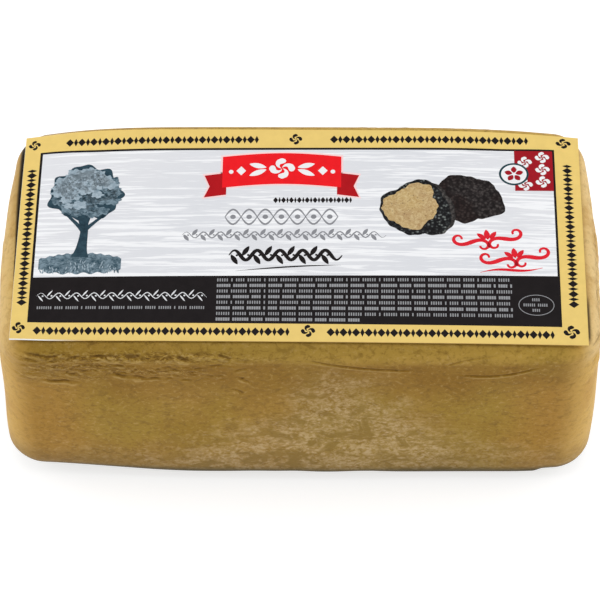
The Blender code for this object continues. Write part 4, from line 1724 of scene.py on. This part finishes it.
def camera_matrix():
    """Place and turn of the camera, from its elevation, distance and roll."""
    forward = Vector((0.0, np.cos(CAMERA_ELEVATION), -np.sin(CAMERA_ELEVATION)))
    right = Vector((1.0, 0.0, 0.0))
    up = right.cross(forward)
    rolled_right = right * np.cos(CAMERA_ROLL) + up * np.sin(CAMERA_ROLL)
    rolled_up = up * np.cos(CAMERA_ROLL) - right * np.sin(CAMERA_ROLL)
    turn = Matrix((rolled_right, rolled_up, -forward)).transposed().to_4x4()
    return Matrix.Translation(Vector(CAMERA_AIM) - forward * CAMERA_DISTANCE) @ turn


def add_camera():
    """Camera at the photograph's viewing angle."""
    data = bpy.data.cameras.new("camera")
    data.sensor_width = SENSOR
    data.lens = FOCAL_PIXELS / PHOTO_WIDTH * SENSOR
    data.clip_start = NEAREST_SEEN
    camera = bpy.data.objects.new("camera", data)
    camera.matrix_world = camera_matrix()
    bpy.context.scene.collection.objects.link(camera)
    bpy.context.scene.camera = camera


def add_floor(look):
    """Wide level floor under the loaf."""
    x, y = rectangle(-FLOOR_REACH, FLOOR_REACH, -FLOOR_REACH, FLOOR_REACH, 4, 4)
    points = np.stack((x, y, np.zeros_like(x)), axis=-1).reshape(-1, 3)
    quads = grid_quads(np.arange(x.size).reshape(x.shape))
    new_object("floor", points, quads.tolist(), floor_material(look), False)


class MakeStage(bpy.types.Operator):
    """Make the pale floor, the soft lights and the camera"""

    bl_idname = "cheese.make_stage"
    bl_label = "Studio"

    def execute(self, context):
        look = context.scene.stage_look
        add_floor(look)
        world = bpy.data.worlds.new("studio")
        world.use_nodes = True
        background = world.node_tree.nodes["Background"]
        background.inputs["Color"].default_value = WHITE
        background.inputs["Strength"].default_value = look.world
        context.scene.world = world
        add_area_light("top_light", *TOP_LIGHT, look.top_power)
        for light in SIDE_LIGHTS:
            add_area_light("side_light", *light, look.side_power)
        add_camera()
        context.scene.view_settings.view_transform = "Standard"
        return {"FINISHED"}


class CheesePanel(bpy.types.Panel):
    """Lists the settings and the operators"""

    bl_idname = "VIEW3D_PT_cheese"
    bl_label = "Truffle sheep cheese"
    bl_space_type = "VIEW_3D"
    bl_region_type = "UI"
    bl_category = "Cheese"

    def draw(self, context):
        for look in (context.scene.rind_look, context.scene.label_look, context.scene.stage_look):
            box = self.layout.box()
            for name in look.__annotations__:
                box.prop(look, name)
        for operator in OPERATORS:
            self.layout.operator(operator.bl_idname)


LOOKS = {"rind_look": RindLook, "label_look": LabelLook, "stage_look": StageLook}
OPERATORS = (
    MakeRind,
    MakeSheet,
    MakeFields,
    MakeBorder,
    MakeBanner,
    MakeLines,
    MakeTree,
    MakeTruffles,
    MakePanel,
    MakeFlourish,
    MakeBandPrint,
    MakeStage,
)


def register():
    """Register the settings, the operators and the panel."""
    for name, look in LOOKS.items():
        bpy.utils.register_class(look)
        setattr(bpy.types.Scene, name, PointerProperty(type=look))
    for kind in (*OPERATORS, CheesePanel):
        bpy.utils.register_class(kind)


def unregister():
    """Remove all that register added."""
    for kind in (CheesePanel, *reversed(OPERATORS)):
        bpy.utils.unregister_class(kind)
    for name, look in LOOKS.items():
        delattr(bpy.types.Scene, name)
        bpy.utils.unregister_class(look)


def main():
    """Make every piece in order."""
    register()
    for operator in OPERATORS:
        group, name = operator.bl_idname.split(".")
        getattr(getattr(bpy.ops, group), name)()


if __name__ == "__main__":
    main()
